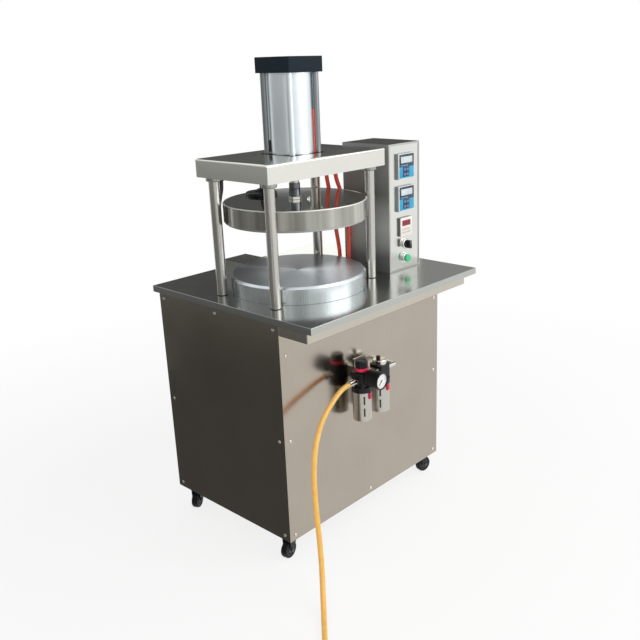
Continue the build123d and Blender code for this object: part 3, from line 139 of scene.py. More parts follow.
def seen_rays(tree):
    """One for camera, mirror and glass rays, none for the rays that light the object."""
    path = wired(tree, "ShaderNodeLightPath", {}).outputs
    either = maths(tree, "MAXIMUM", path["Is Camera Ray"], path["Is Glossy Ray"])
    return maths(tree, "MAXIMUM", either, path["Is Transmission Ray"])


world = bpy.data.worlds.new("studio")
bpy.context.scene.world = world
world.use_nodes = True
plug(world.node_tree, world.node_tree.nodes["Background"], {
    "Color": SURROUND_COLOUR,
    "Strength": spanned(world.node_tree, seen_rays(world.node_tree), 0, 1, SURROUND_LIGHT, 1)})


def blank(name):
    """A new finish, with its tree of nodes and its shader."""
    finish = bpy.data.materials.new(name)
    finish.use_nodes = True
    return finish, finish.node_tree, finish.node_tree.nodes["Principled BSDF"]


def here(tree):
    """The place on a piece."""
    return wired(tree, "ShaderNodeTexCoord", {}).outputs["Object"]


bpy.ops.object.select_all(action="DESELECT")
bpy.ops.mesh.primitive_plane_add(size=FLOOR_SIZE, location=(0, 0, 0))
floor = bpy.context.object
floor.name = "floor"
floor_finish, floor_tree, floor_paint = blank("pale floor")
plug(floor_tree, floor_paint, {"Base Color": FLOOR_COLOUR, "Roughness": FLOOR_ROUGHNESS})
floor_reach = wired(floor_tree, "ShaderNodeVectorMath", {0: here(floor_tree)}, operation="LENGTH")
floor_fade = spanned(floor_tree, floor_reach.outputs["Value"], FLOOR_FADE_START, FLOOR_FADE_END,
                     FLOOR_GLOW, 1)
floor_share = maths(floor_tree, "MULTIPLY", seen_rays(floor_tree), floor_fade)
floor_glow = wired(floor_tree, "ShaderNodeEmission", {})
floor_mix = wired(floor_tree, "ShaderNodeMixShader", {
    "Fac": floor_share, 1: floor_paint.outputs["BSDF"], 2: floor_glow.outputs["Emission"]})
plug(floor_tree, floor_tree.nodes["Material Output"], {"Surface": floor_mix.outputs["Shader"]})
floor.data.materials.append(floor_finish)


def lamp(name, place, aim, size, watts, mirrored):
    """A large round soft lamp, which the steel mirrors or not."""
    data = bpy.data.lights.new(name, "AREA")
    data.shape = "DISK"
    data.size = size
    data.energy = watts
    light = placed(name, data)
    light.location = place
    light.rotation_euler = (Vector(aim) - Vector(place)).to_track_quat("-Z", "Y").to_euler()
    light.visible_glossy = mirrored


lamp("front_lamp", (1.1, -2.6, 2.6), (0, 0, 0.7), size=3.6, watts=60, mirrored=True)
lamp("left_lamp", (-2.4, -1.9, 1.25), (0, 0, 0.85), size=1.2, watts=14, mirrored=False)


def ramp(tree, share, stops):
    """Colours along a share of the way, from stops that each hold a share and a colour."""
    run = wired(tree, "ShaderNodeValToRGB", {"Fac": share})
    steps = run.color_ramp.elements
    while len(steps) < len(stops):
        steps.new(0.5)
    for step, (position, colour) in zip(steps, stops):
        step.position = position
        step.color = (*colour, 1)
    return run.outputs["Color"]


def apart(tree, place):
    """A place's X, Y and Z."""
    return wired(tree, "ShaderNodeSeparateXYZ", {"Vector": place}).outputs


def card(name, centre, facing, width, height, greys):
    """A card that only mirror rays see, with its greys as shares of the way up and levels."""
    bpy.ops.mesh.primitive_plane_add(size=1)
    sheet = bpy.context.object
    sheet.name = name
    sheet.scale = (width, height, 1)
    sheet.rotation_euler = Vector(facing).to_track_quat("Z", "Y").to_euler()
    sheet.location = centre
    finish, tree, _ = blank(name)
    rise = maths(tree, "ADD", apart(tree, here(tree))["Y"], 0.5)
    stops = [(share, (grey, grey, grey * CARD_WARMTH)) for share, grey in greys]
    glow = wired(tree, "ShaderNodeEmission", {"Color": ramp(tree, rise, stops)})
    plug(tree, tree.nodes["Material Output"], {"Surface": glow.outputs["Emission"]})
    sheet.data.materials.append(finish)
    sheet.visible_camera = False
    sheet.visible_diffuse = False
    sheet.visible_shadow = False


card("left_card", (-0.95, 0.90, 0.85), (1, 0, 0), 2.6, 1.70, [
    (0.0, 0.08), (0.17, 0.10), (0.25, 0.17), (0.35, 0.24), (0.45, 0.22), (0.55, 0.28), (0.66, 0.40),
    (1.0, 0.62)])
card("left_floor_card", (-0.66, 0.5, 0.003), UP, 0.6, 1.8, [(0.0, 0.09), (1.0, 0.09)])
card("back_card", (1.0, 2.06, 1.35), TO_CAMERA, 2.7, 2.3, [(0.0, 0.08), (0.75, 0.10), (1.0, 0.7)])
card("right_back_card", (2.4, 0.493, 1.35), TO_CAMERA, 1.5, 2.3, [(0.0, 0.30), (1.0, 0.4)])
card("low_back_card", (0.65, 0.50, 0.895), TO_CAMERA, 0.6, 0.35, [(0.0, 1.6), (0.7, 1.5), (1.0, 0.7)])
card("near_card", (-1.25, -1.1, 0.45), FROM_CAMERA, 0.9, 0.9, [(0.0, 0.42), (0.7, 0.5), (1.0, 0.85)])
card("camera_card", (-1.35, -1.30, 1.25), FROM_CAMERA, 0.7, 0.6, [(0.0, 0.5), (1.0, 0.4)])

# Casters
# Four black swivel casters: a pressed fork turns on a fixed plate, and a solid tyre rolls on a grey hub.
# The fork is pressed steel with a coat of paint, and a hex nut holds the axle on each side.
SMOOTH_BELOW = math.radians(32)
SHARP_ABOVE = math.radians(35)
FLAT_BELOW = math.radians(0.5)
MERGE_WITHIN = 0.00001
WORN_EDGE_R = 0.0009
SKIN_DEPTH = 0.0004


def tint(red, green, blue):
    """A colour as it looks on a screen, 0 to 255, as light."""
    return [((c / 255 + 0.055) / 1.055) ** 2.4 if c > 10 else c / 255 / 12.92 for c in (red, green, blue)]


def noise(tree, place, scale, detail=2.0):
    """Soft random spots of a scale."""
    return wired(tree, "ShaderNodeTexNoise", {
        "Vector": place, "Scale": scale, "Detail": detail}).outputs["Fac"]


def mottled(tree, spots, colour, dark, pale, first=0.3, last=0.7):
    """A colour that wanders between a darker and a paler tone with the spots."""
    tones = [(first, [c * dark for c in colour]), (last, [min(1, c * pale) for c in colour])]
    return ramp(tree, spots, tones)


def relief(tree, height, strength, depth):
    """A fine bump in the surface."""
    return wired(tree, "ShaderNodeBump", {
        "Height": height, "Strength": strength, "Distance": depth}).outputs["Normal"]


def plastic(name, colour, rough, bump=0.06, grain=700.0, worn=0.0, shine=0.5):
    """Moulded plastic or paint: a fine grain, an uneven gloss, and paler edges where it is worn."""
    finish, tree, shader = blank(name)
    place = here(tree)
    clouds = noise(tree, place, scale=24.0, detail=4.0)
    rounded = wired(tree, "ShaderNodeBevel", {"Radius": WORN_EDGE_R}, samples=4)
    faces = wired(tree, "ShaderNodeNewGeometry", {})
    match = wired(tree, "ShaderNodeVectorMath", {0: rounded.outputs["Normal"], 1: faces.outputs["Normal"]},
                  operation="DOT_PRODUCT")
    rubbed = wired(tree, "ShaderNodeMix", {
        "Factor": spanned(tree, match.outputs["Value"], first=0.80, last=0.995, low=worn, high=0),
        "A": mottled(tree, clouds, colour, dark=0.90, pale=1.10),
        "B": [min(1, 0.10 + c * 1.4) for c in colour] + [1]}, data_type="RGBA")
    plug(tree, shader, {
        "Base Color": rubbed.outputs["Result"], "Roughness": spanned(tree, clouds, 0.3, 0.7, *rough),
        "Normal": relief(tree, noise(tree, place, grain), bump, SKIN_DEPTH), "Specular IOR Level": shine})
    return finish


def turned(name, rings, foot, towards, finish, sides=48):
    """A piece turned on a lathe: a disc drawn up ring by ring, each ring a height and a radius."""
    bpy.ops.object.select_all(action="DESELECT")
    height, radius = rings[0]
    bpy.ops.mesh.primitive_circle_add(vertices=sides, radius=radius, fill_type="NGON",
                                      location=(0, 0, height))
    piece = bpy.context.object
    piece.name = name
    bpy.ops.object.mode_set(mode="EDIT")
    bpy.ops.mesh.select_all(action="SELECT")
    for next_height, next_radius in rings[1:]:
        bpy.ops.mesh.extrude_region_move(TRANSFORM_OT_translate={"value": (0, 0, next_height - height)})
        share = next_radius / radius
        bpy.ops.transform.resize(value=(share, share, 1), center_override=(0, 0, next_height))
        height, radius = next_height, next_radius
    bpy.ops.mesh.select_all(action="SELECT")
    bpy.ops.mesh.normals_make_consistent(inside=False)
    bpy.ops.object.mode_set(mode="OBJECT")
    bpy.ops.object.transform_apply(location=True, rotation=True, scale=True)
    piece.rotation_euler = Vector(towards).to_track_quat("Z", "Y").to_euler()
    piece.location = foot
    bpy.ops.object.transform_apply(location=True, rotation=True, scale=True)
    bpy.ops.object.shade_smooth_by_angle(angle=SMOOTH_BELOW)
    piece.data.materials.append(finish)
    return piece


def take(*pieces):
    """Only these pieces selected, with the first one active."""
    bpy.ops.object.select_all(action="DESELECT")
    for piece in pieces:
        piece.select_set(True)
    bpy.context.view_layer.objects.active = pieces[0]


def gather(name, *pieces):
    """Several pieces fixed to each other, as one."""
    take(*pieces)
    if len(pieces) > 1:
        bpy.ops.object.join()
    pieces[0].name = name
    return pieces[0]


def worked(piece, name, kind, **settings):
    """A modifier with its settings, applied to the active piece."""
    step = piece.modifiers.new(name, kind)
    for setting, value in settings.items():
        setattr(step, setting, value)
    bpy.ops.object.modifier_apply(modifier=step.name)


def level(piece):
    """The piece's wide faces shaded flat, so that only its narrow edges look round."""
    worked(piece, "flat faces", "WEIGHTED_NORMAL", keep_sharp=True)


def dress(mesh, finish):
    """The mesh in one finish only."""
    mesh.materials.clear()
    mesh.materials.append(finish)


def eased(node, edge, finish, steps=2):
    """A piece of the frame with its sharp edges eased, as a file or a press leaves them."""
    piece = placed("eased_" + node, frame["nodes"][node].data.copy())
    take(piece)
    bpy.ops.mesh.customdata_custom_splitnormals_clear()
    bpy.ops.object.mode_set(mode="EDIT")
    bpy.ops.mesh.select_all(action="SELECT")
    bpy.ops.mesh.remove_doubles(threshold=MERGE_WITHIN)
    bpy.ops.mesh.dissolve_limited(angle_limit=FLAT_BELOW)
    bpy.ops.object.mode_set(mode="OBJECT")
    worked(piece, "eased edges", "BEVEL", width=edge, segments=steps, limit_method="ANGLE",
           angle_limit=SHARP_ABOVE)
    bpy.ops.object.shade_smooth_by_angle(angle=SMOOTH_BELOW)
    level(piece)
    dress(piece.data, finish)
    return piece


def fit(piece, body, slot, *nodes):
    """The piece moves with its body and stands for nodes of the frame; the slot is not used."""
    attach(piece, body)
    if nodes:
        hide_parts(*nodes)
    return piece


def refined(node, edge, finish, slot, steps=2):
    """A fixed piece of the frame with eased edges, in the place of the plain one."""
    return fit(eased(node, edge, finish, steps), "frame", slot, node)


CASTER_EDGE = 0.0006
CHEEK_FACE = 0.0140
TYRE_PROFILE = [
    (-0.0088, 0.0165), (-0.0096, 0.0185), (-0.0096, 0.0215), (-0.0088, 0.0238), (-0.0066, 0.0249),
    (0.0066, 0.0249), (0.0088, 0.0238), (0.0096, 0.0215), (0.0096, 0.0185), (0.0088, 0.0165)]
HUB_PROFILE = [
    (-0.0100, 0.0050), (-0.0100, 0.0085), (-0.0092, 0.0095), (-0.0080, 0.0100), (-0.0080, 0.0150),
    (-0.0089, 0.0160), (-0.0089, 0.0168), (0.0089, 0.0168), (0.0089, 0.0160), (0.0080, 0.0150),
    (0.0080, 0.0100), (0.0092, 0.0095), (0.0100, 0.0085), (0.0100, 0.0050)]
AXLE_NUT = [(0.0, 0.0056), (0.0026, 0.0056), (0.0032, 0.0048)]
fork_paint = plastic("caster fork paint", tint(28, 31, 34), (0.28, 0.42), worn=0.3, shine=0.3)
tyre_rubber = plastic("caster tyre", tint(20, 22, 24), (0.45, 0.62), bump=0.1, shine=0.25)
hub_plastic = plastic("caster hub", tint(74, 78, 82), (0.35, 0.5))
joints = {joint["name"]: joint for joint in frame["joints"]}
refined("caster_plates", CASTER_EDGE, fork_paint, "caster_metal")
for corner in ("front_left", "front_right", "rear_left", "rear_right"):
    axle_middle = Vector(joints["roll_" + corner]["pos_m"])
    axle = Vector(joints["roll_" + corner]["axis"])
    tyre = turned("tyre", TYRE_PROFILE, axle_middle, axle, tyre_rubber, 64)
    hub = turned("hub", HUB_PROFILE, axle_middle, axle, hub_plastic)
    fit(gather("wheel_" + corner, tyre, hub), "wheel_" + corner, "caster_tread", "caster_wheel_" + corner)
    fork = eased("caster_fork_" + corner, CASTER_EDGE, fork_paint)
    nuts = [turned("axle_nut", AXLE_NUT, axle_middle + axle * (side * CHEEK_FACE), axle * side,
                   hub_plastic, 6) for side in (-1, 1)]
    fit(gather("fork_" + corner, fork, *nuts), "fork_" + corner, "caster_metal", "caster_fork_" + corner)

# Cabinet
# Folded stainless sheets screwed to an angle frame. The sheets are ground fine and polished,
# so they mirror the floor and the air unit softly.
GRAIN_ALONG = 14.0
STREAK_ALONG = 0.6
STREAK_ACROSS = 30.0
GRAIN_DEPTH = 0.0002
GRAIN_SPAN = (0.35, 0.65)
PANEL_EDGE = 0.0005


def lines(tree, along, lengthways, crossways, detail):
    """Random lines along one axis, with their scales along it and across it."""
    scales = [lengthways if axis == along else crossways for axis in "XYZ"]
    drawn = wired(tree, "ShaderNodeMapping", {"Vector": here(tree), "Scale": scales})
    return noise(tree, drawn.outputs["Vector"], 1.0, detail)


def blended(tree, first, second, share):
    """Two patterns in one, with the second one's share."""
    return wired(tree, "ShaderNodeMix", {"Factor": share, "A": first, "B": second}).outputs["Result"]


def steel(name, colour, along, rough=(0.16, 0.26), shade=0.03, bump=0.03, fine=2200.0, streaks=0.0,
          metal=1.0):
    """Stainless sheet with a fine grain and wider streaks along one axis, and faint cloudy wear."""
    finish, tree, shader = blank(name)
    grain = lines(tree, along, GRAIN_ALONG, fine, detail=3.0)
    worn = blended(tree, grain, noise(tree, here(tree), scale=6.0, detail=5.0), share=0.6)
    wide = lines(tree, along, STREAK_ALONG, STREAK_ACROSS, detail=2.0)
    streaked = blended(tree, worn, wide, share=streaks)
    plug(tree, shader, {
        "Base Color": mottled(tree, streaked, colour, 1 - shade, 1 + shade, *GRAIN_SPAN),
        "Roughness": spanned(tree, worn, *GRAIN_SPAN, *rough),
        "Normal": relief(tree, grain, bump, GRAIN_DEPTH), "Metallic": metal})
    return finish


def coat(finish, *names):
    """A new finish on pieces of the frame whose shape is right as it is."""
    for name in names:
        dress(frame["nodes"][name].data, finish)


panel_steel = steel("cabinet steel", tint(178, 169, 157), "Z", (0.16, 0.22), shade=0.045, bump=0.004,
                    fine=900.0)
coat(steel("frame steel", tint(170, 166, 158), "Z", (0.3, 0.4)), "cabinet_frame")
for side in ("front", "back", "left", "right"):
    refined(side + "_panel", PANEL_EDGE, panel_steel, "stainless_sheet")

# Panel screws
# Bright pan head screws with a cross recess, driven through the sheets into the frame.
# Each panel has them at its corners and half way up, and the sides have one more under the table.
FORWARD = (0, -1, 0)
SCREW_EDGE = 0.020
SCREW_LOW_RISE = 0.016
SCREW_TOP_DROP = 0.058
SCREW_RIM_RISE = 0.012
PAN_HEAD = [(0.0, 0.0045), (0.0008, 0.0045), (0.0016, 0.0040), (0.0022, 0.0029), (0.0024, 0.0015)]
CROSS_W = 0.0009
CROSS_L = 0.0052
CROSS_DEPTH = 0.0012


def moulded(name, low, high, edge, finish, steps=3):
    """A box-shaped piece with rounded edges, from its low corner to its high one."""
    bpy.ops.object.select_all(action="DESELECT")
    low, high = Vector(low), Vector(high)
    bpy.ops.mesh.primitive_cube_add(size=1, location=(low + high) / 2)
    piece = bpy.context.object
    piece.name = name
    piece.scale = high - low
    bpy.ops.object.transform_apply(location=True, rotation=True, scale=True)
    if edge:
        worked(piece, "rounded edges", "BEVEL", width=edge, segments=steps)
        bpy.ops.object.shade_smooth_by_angle(angle=SMOOTH_BELOW)
    piece.data.materials.append(finish)
    return piece


def carve(piece, tool):
    """The tool's shape cut out of the piece."""
    take(piece)
    worked(piece, "cut", "BOOLEAN", operation="DIFFERENCE", object=tool)
    bpy.data.objects.remove(tool)


def twin(piece, place, towards):
    """A copy with a mesh of its own, turned from +Z to a direction and set at its place."""
    copy = placed(piece.name, piece.data.copy())
    turn = Vector(towards).to_track_quat("Z", "Y").to_matrix().to_4x4()
    copy.data.transform(Matrix.Translation(place) @ turn)
    return copy


screw_steel = steel("screw steel", tint(236, 231, 222), "Z", (0.26, 0.36))
screw = turned("screw", PAN_HEAD, (0, 0, 0), UP, screw_steel, 24)
top_of_cross = PAN_HEAD[-1][0] + CROSS_DEPTH
for half_x, half_y in ((CROSS_W / 2, CROSS_L / 2), (CROSS_L / 2, CROSS_W / 2)):
    carve(screw, moulded("cross", (-half_x, -half_y, CROSS_DEPTH), (half_x, half_y, top_of_cross), 0,
                         screw_steel))
cabinet_low, cabinet_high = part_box("left_panel")
side_x = abs(cabinet_low.x)
front_y, back_y = cabinet_low.y, cabinet_high.y
rim_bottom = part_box("table_frame")[0].z
low_z = cabinet_low.z + SCREW_LOW_RISE
middle_z = (cabinet_low.z + rim_bottom) / 2
front_top_z = rim_bottom - SCREW_TOP_DROP
high_z = rim_bottom + SCREW_RIM_RISE
screws = [twin(screw, (0, front_y, low_z), FORWARD)]
for side in (-1, 1):
    x = side * (side_x - SCREW_EDGE)
    screws += [twin(screw, (x, front_y, z), FORWARD) for z in (low_z, middle_z, front_top_z)]
    screws += [twin(screw, (x, back_y, z), (0, 1, 0)) for z in (low_z, middle_z, high_z)]
    rows = [(y, z) for y in (front_y + SCREW_EDGE, back_y - SCREW_EDGE) for z in (low_z, middle_z, high_z)]
    rows.append(((front_y + back_y) / 2, high_z))
    screws += [twin(screw, (side * side_x, y, z), (side, 0, 0)) for y, z in rows]
bpy.data.objects.remove(screw)
fit(gather("panel_screw_heads", *screws), "frame", "bright_steel", "panel_screws")

# Table
# A folded stainless top with a turned-down lip lies on a channel rim that is set back under it.
# The top is polished to a soft mirror, and the rim is left as it was ground.
TABLE_EDGE = 0.0009
rim_steel = steel("rim steel", tint(198, 192, 180), "X", (0.22, 0.34))
table_steel = steel("table steel", tint(186, 188, 184), "X", (0.13, 0.21), bump=0.015)
refined("table_frame", TABLE_EDGE, rim_steel, "frame_steel")
refined("table_top", TABLE_EDGE, table_steel, "stainless_sheet")

# Lower platen
# A thick aluminium disc, faced on a lathe, with a bright chamfer round its top.
# The tool's fine circles spread the light into fans across its face, partly as a real sheen along the circles
# and partly as fans of light and shade painted into its colour.
CIRCLE_SCALE = 180.0
CIRCLE_DEPTH = 0.0002
PLATEN_CHAMFER = 0.006
PLATEN_SIDES = 160
LEVEL_NORMAL = 0.99


def toned(tree, colour, share, shades):
    """A colour darker or paler along a share of the way, its shades as shares and levels."""
    levels = ramp(tree, share, [(position, (grey, grey, grey)) for position, grey in shades])
    return wired(tree, "ShaderNodeMix", {"Factor": 1.0, "A": colour, "B": levels}, data_type="RGBA",
                 blend_type="MULTIPLY").outputs["Result"]


def lathe_metal(name, colour, centre, rough, fan, rays):
    """Metal faced on a lathe: the rays are fans of light and shade painted into its colour, as shares of a
    turn and levels.
    """
    finish, tree, shader = blank(name)
    place = here(tree)
    shift = wired(tree, "ShaderNodeMapping", {"Vector": place, "Location": (-centre[0], -centre[1], 0)})
    circles = wired(tree, "ShaderNodeTexWave", {
        "Vector": shift.outputs["Vector"], "Scale": CIRCLE_SCALE, "Distortion": 0.4, "Detail": 2.0},
        wave_type="RINGS", rings_direction="Z").outputs["Fac"]
    worn = blended(tree, circles, noise(tree, place, scale=9.0, detail=5.0), share=0.5)
    from_centre = apart(tree, shift.outputs["Vector"])
    angle = maths(tree, "ARCTAN2", from_centre["Y"], from_centre["X"])
    part_turn = maths(tree, "FRACT", maths(tree, "MULTIPLY_ADD", angle, 0.5 / math.pi, 1.0))
    around = wired(tree, "ShaderNodeTangent", {}, direction_type="RADIAL", axis="Z")
    tone = mottled(tree, worn, colour, dark=0.94, pale=1.05, first=0, last=1)
    plug(tree, shader, {
        "Base Color": toned(tree, tone, part_turn, rays),
        "Roughness": spanned(tree, worn, 0.2, 0.8, *rough),
        "Normal": relief(tree, circles, strength=0.05, depth=CIRCLE_DEPTH),
        "Tangent": around.outputs["Tangent"],
        "Metallic": 0.7, "Anisotropic": fan, "Anisotropic Rotation": 0.25})
    return finish


def middle(low, high):
    """The point half way between two corners."""
    return [(a + b) / 2 for a, b in zip(low, high)]


def faced(piece, finish, wanted):
    """One more finish, on the piece's wanted faces."""
    piece.data.materials.append(finish)
    for face in piece.data.polygons:
        if wanted(face):
            face.material_index = len(piece.data.materials) - 1


platen_low, platen_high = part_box("lower_platen")
press_x, press_y, _ = middle(platen_low, platen_high)
platen_r = (platen_high.x - platen_low.x) / 2
platen_h = platen_high.z - platen_low.z
LOWER_PLATEN_RINGS = [
    (0.0, platen_r - 0.0008), (0.0008, platen_r), (platen_h - PLATEN_CHAMFER - 0.0006, platen_r),
    (platen_h - PLATEN_CHAMFER + 0.0002, platen_r - 0.0003),
    (platen_h - 0.0004, platen_r - PLATEN_CHAMFER + 0.0002),
    (platen_h, platen_r - PLATEN_CHAMFER - 0.0006), (platen_h, 0.012), (platen_h - 0.0003, 0.0112),
    (platen_h - 0.0003, 0.002)]
# Painted fans of light and shade: levels of the faced metal's colour round a turn about its centre.
PAINTED_LATHE_FANS = [
    (0.0, 0.20), (0.12, 0.18), (0.20, 0.21), (0.29, 0.24), (0.32, 0.48), (0.34, 0.26), (0.38, 0.25),
    (0.51, 0.42), (0.62, 0.66), (0.69, 0.86), (0.733, 1.0), (0.79, 0.94), (0.87, 0.74), (0.94, 0.40),
    (1.0, 0.20)]
platen_metal = lathe_metal("faced aluminium", tint(232, 243, 249), (press_x, press_y), (0.27, 0.34), 0.70,
                           PAINTED_LATHE_FANS)
platen_side = steel("platen side", tint(216, 223, 226), "Z", (0.24, 0.30), shade=0.06, bump=0.004,
                    streaks=0.95)
lower = turned("lower_platen_disc", LOWER_PLATEN_RINGS, (press_x, press_y, platen_low.z), UP, platen_metal,
               PLATEN_SIDES)
level(lower)
faced(lower, platen_side, lambda face: face.normal.z < LEVEL_NORMAL)
fit(lower, "frame", "cast_aluminium", "lower_platen")

# Wiring box
# A folded stainless box behind the lower platen covers the heater's terminals.
# It is spot welded at its corners and screwed down on the table.
WIRING_BOX_EDGE = 0.0012
wiring_box_steel = steel("wiring box steel", tint(186, 186, 180), "X", (0.14, 0.24))
refined("terminal_box", WIRING_BOX_EDGE, wiring_box_steel, "stainless_sheet")

# Columns
# Four ground and polished steel columns stand on the table and carry the head.
# A collar locks each one under the head, and nuts on the studs hold both ends.
COLUMN_R = 0.014
FOOT_SHADE_R = 0.0152
FOOT_SHADE_H = 0.0016
FOOT_SHADE_EDGE = 0.0004
FOOT_SHADE_RINGS = [
    (0, FOOT_SHADE_R), (FOOT_SHADE_H - FOOT_SHADE_EDGE, FOOT_SHADE_R), (FOOT_SHADE_H, FOOT_SHADE_R - FOOT_SHADE_EDGE), (FOOT_SHADE_H, COLUMN_R - 0.001)]
column_steel = steel("column steel", tint(196, 194, 188), "Z", (0.20, 0.28), shade=0.02, bump=0.02)
coat(column_steel, "columns")
coat(steel("fastener steel", tint(168, 168, 164), "Z", (0.2, 0.32)), "press_fasteners")
columns_low, columns_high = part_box("columns")
table_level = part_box("table_top")[1].z
# Painted shade: a thin black ring round each column's foot gives the dark line where the column meets the
# table.
foot_shade_black = plastic("foot shade black", tint(30, 31, 32), (0.4, 0.55))
foot_shades = [turned("foot_shade_ring", FOOT_SHADE_RINGS, (x, y, table_level), UP, foot_shade_black, 40)
         for x in (columns_low.x + COLUMN_R, columns_high.x - COLUMN_R)
         for y in (columns_low.y + COLUMN_R, columns_high.y - COLUMN_R)]
fit(gather("column_foot_shade_rings", *foot_shades), "frame", "black_plastic")

# Head
# A folded stainless cover with a deep skirt hides the thick plate that carries the cylinder.
# Its edges are bent over a bar, so they are round, and its corners are welded and ground.
HEAD_BEND_R = 0.006
HEAD_CORNER_R = 0.0025
HEAD_SHEET = 0.0015
HEAD_SMOOTH_BELOW = math.radians(40)
DOWN_NORMAL = -0.5
SAME_PLACE = 0.0001
head_low, head_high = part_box("head_cover")
head_steel = steel("head steel", tint(228, 228, 221), "X", (0.10, 0.18))
head = moulded("head_shell", head_low, head_high, 0, head_steel)


def pick(piece, kind, wanted):
    """The piece in edit mode, with only its wanted faces or edges selected."""
    bpy.ops.object.mode_set(mode="EDIT")
    bpy.ops.mesh.select_mode(type=kind)
    bpy.ops.mesh.select_all(action="DESELECT")
    bpy.ops.object.mode_set(mode="OBJECT")
    for part in piece.data.polygons if kind == "FACE" else piece.data.edges:
        part.select = wanted(part)
    bpy.ops.object.mode_set(mode="EDIT")


def leave_editing():
    """The active piece back in object mode, with single points as the choice for the next one."""
    bpy.ops.mesh.select_mode(type="VERT")
    bpy.ops.object.mode_set(mode="OBJECT")


def head_ends(line):
    """The two ends of one of the head's edges."""
    return [head.data.vertices[index].co for index in line.vertices]


def at_top(line):
    """Whether an edge runs round the head's top."""
    return all(end.z > head_high.z - HEAD_SHEET for end in head_ends(line))


def upright(line):
    """Whether an edge runs straight up one of the head's corners."""
    start, end = head_ends(line)
    return (start.xy - end.xy).length < SAME_PLACE


pick(head, "FACE", lambda face: face.normal.z < DOWN_NORMAL)
bpy.ops.mesh.delete(type="FACE")
pick(head, "EDGE", at_top)
bpy.ops.mesh.bevel(offset=HEAD_BEND_R, segments=6)
pick(head, "EDGE", upright)
bpy.ops.mesh.bevel(offset=HEAD_CORNER_R, segments=3)
leave_editing()
worked(head, "sheet", "SOLIDIFY", thickness=HEAD_SHEET, offset=-1.0)
bpy.ops.object.shade_smooth_by_angle(angle=HEAD_SMOOTH_BELOW)
fit(head, "frame", "stainless_sheet", "head_cover")
coat(plastic("head plate paint", tint(226, 227, 221), (0.35, 0.5)), "head_plate")

# Air cylinder
# A drawn aluminium barrel with an ear down each corner, between two square cast caps.
# Four long bolts through the ears clamp it, and a position switch sits in a groove with its red lead.
EAR_PAINTED_SHADE = [(0.0, 1.0), (0.55, 1.0), (1.0, 0.34)]
EAR_SHADE_LIMIT = -0.0021
barrel_metal = steel("barrel aluminium", tint(226, 234, 238), "Z", (0.30, 0.40), shade=0.02, fine=1500.0)
cap_black = plastic("cap black", tint(22, 34, 42), (0.42, 0.55), bump=0.12, grain=500.0, worn=0.15,
                    shine=0.12)


def shaded(finish, measure, first, last, shades):
    """Light and shade painted into the finish's colour along a measure, its shades as shares of the way and
    levels.
    """
    tree = finish.node_tree
    colour = tree.nodes["Principled BSDF"].inputs["Base Color"]
    share = spanned(tree, measure, first, last, 0, 1)
    tree.links.new(toned(tree, colour.links[0].from_socket, share, shades), colour)


def spread(finish, centre):
    """The X, Y and Z of a finish's places from a centre."""
    tree = finish.node_tree
    shift = wired(tree, "ShaderNodeVectorMath", {0: here(tree), 1: centre}, operation="SUBTRACT")
    return apart(tree, shift.outputs["Vector"])


# Painted shade: the barrel's colour darkens out on the ears at the back left and front right.
from_axis = spread(barrel_metal, (press_x, press_y, 0))
ear_shade_measure = maths(barrel_metal.node_tree, "MULTIPLY", from_axis["X"], from_axis["Y"])
shaded(barrel_metal, ear_shade_measure, 0.0, EAR_SHADE_LIMIT, EAR_PAINTED_SHADE)
coat(barrel_metal, "cylinder_barrel")
coat(cap_black, "cylinder_front_cap")
CAP_EDGE = 0.0012
CAP_BOLT_INSET = 0.0155
CAP_BOLT_R = 0.0085
CAP_BOLT_DEPTH = 0.009
SOCKET_R = 0.0042
BOLT_SEAT = [(0, CAP_BOLT_R), (CAP_BOLT_DEPTH + 0.002, CAP_BOLT_R)]
CAP_BOLT = [(0, 0.0072), (0.0066, 0.0072), (0.0074, 0.0064), (0.0074, SOCKET_R), (0.003, SOCKET_R)]
cap_low, cap_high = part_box("cylinder_rear_cap")
rear_cap = eased("cylinder_rear_cap", CAP_EDGE, cap_black, 3)
bolts = []
for x in (cap_low.x + CAP_BOLT_INSET, cap_high.x - CAP_BOLT_INSET):
    for y in (cap_low.y + CAP_BOLT_INSET, cap_high.y - CAP_BOLT_INSET):
        seat = (x, y, cap_high.z - CAP_BOLT_DEPTH)
        carve(rear_cap, turned("bolt_seat", BOLT_SEAT, seat, UP, cap_black, 32))
        bolts.append(turned("cap_bolt", CAP_BOLT, seat, UP, column_steel, 24))
fit(rear_cap, "frame", "black_cap", "cylinder_rear_cap")
fit(gather("rear_cap_bolts", *bolts), "frame", "bright_steel")
SENSOR_RADIUS = 0.0590
SENSOR_W = 0.0045
SENSOR_H = 0.030
SENSOR_EDGE = 0.0010
SENSOR_RISE = 0.006
SENSOR_DROP = 0.002
FRONT_GROOVE = math.radians(-52)
LEFT_GROOVE = math.radians(142)
LEAD_D = 0.003
LEAD_L = 0.112
LEAD_SHARES = (0, 0.3, 0.65, 1)
TUBE_SKIN_DEPTH = 0.0003
LIGHT_REACH = (0.03, 0.014, 0.006)
barrel_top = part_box("cylinder_barrel")[1].z
head_top = head_high.z
lead_top = head_top + LEAD_L


def tube(name, points, diameter, finish):
    """A round tube on a smooth line along the route's points."""
    data = bpy.data.curves.new(name, "CURVE")
    data.dimensions = "3D"
    line = data.splines.new("NURBS")
    line.points.add(len(points) - 1)
    for spot, point in zip(line.points, points):
        spot.co = (*point, 1)
    line.order_u = 3
    line.use_endpoint_u = True
    data.resolution_u = 8
    data.bevel_depth = diameter / 2
    data.bevel_resolution = 6
    data.use_fill_caps = True
    data.materials.append(finish)
    return placed(name, data)


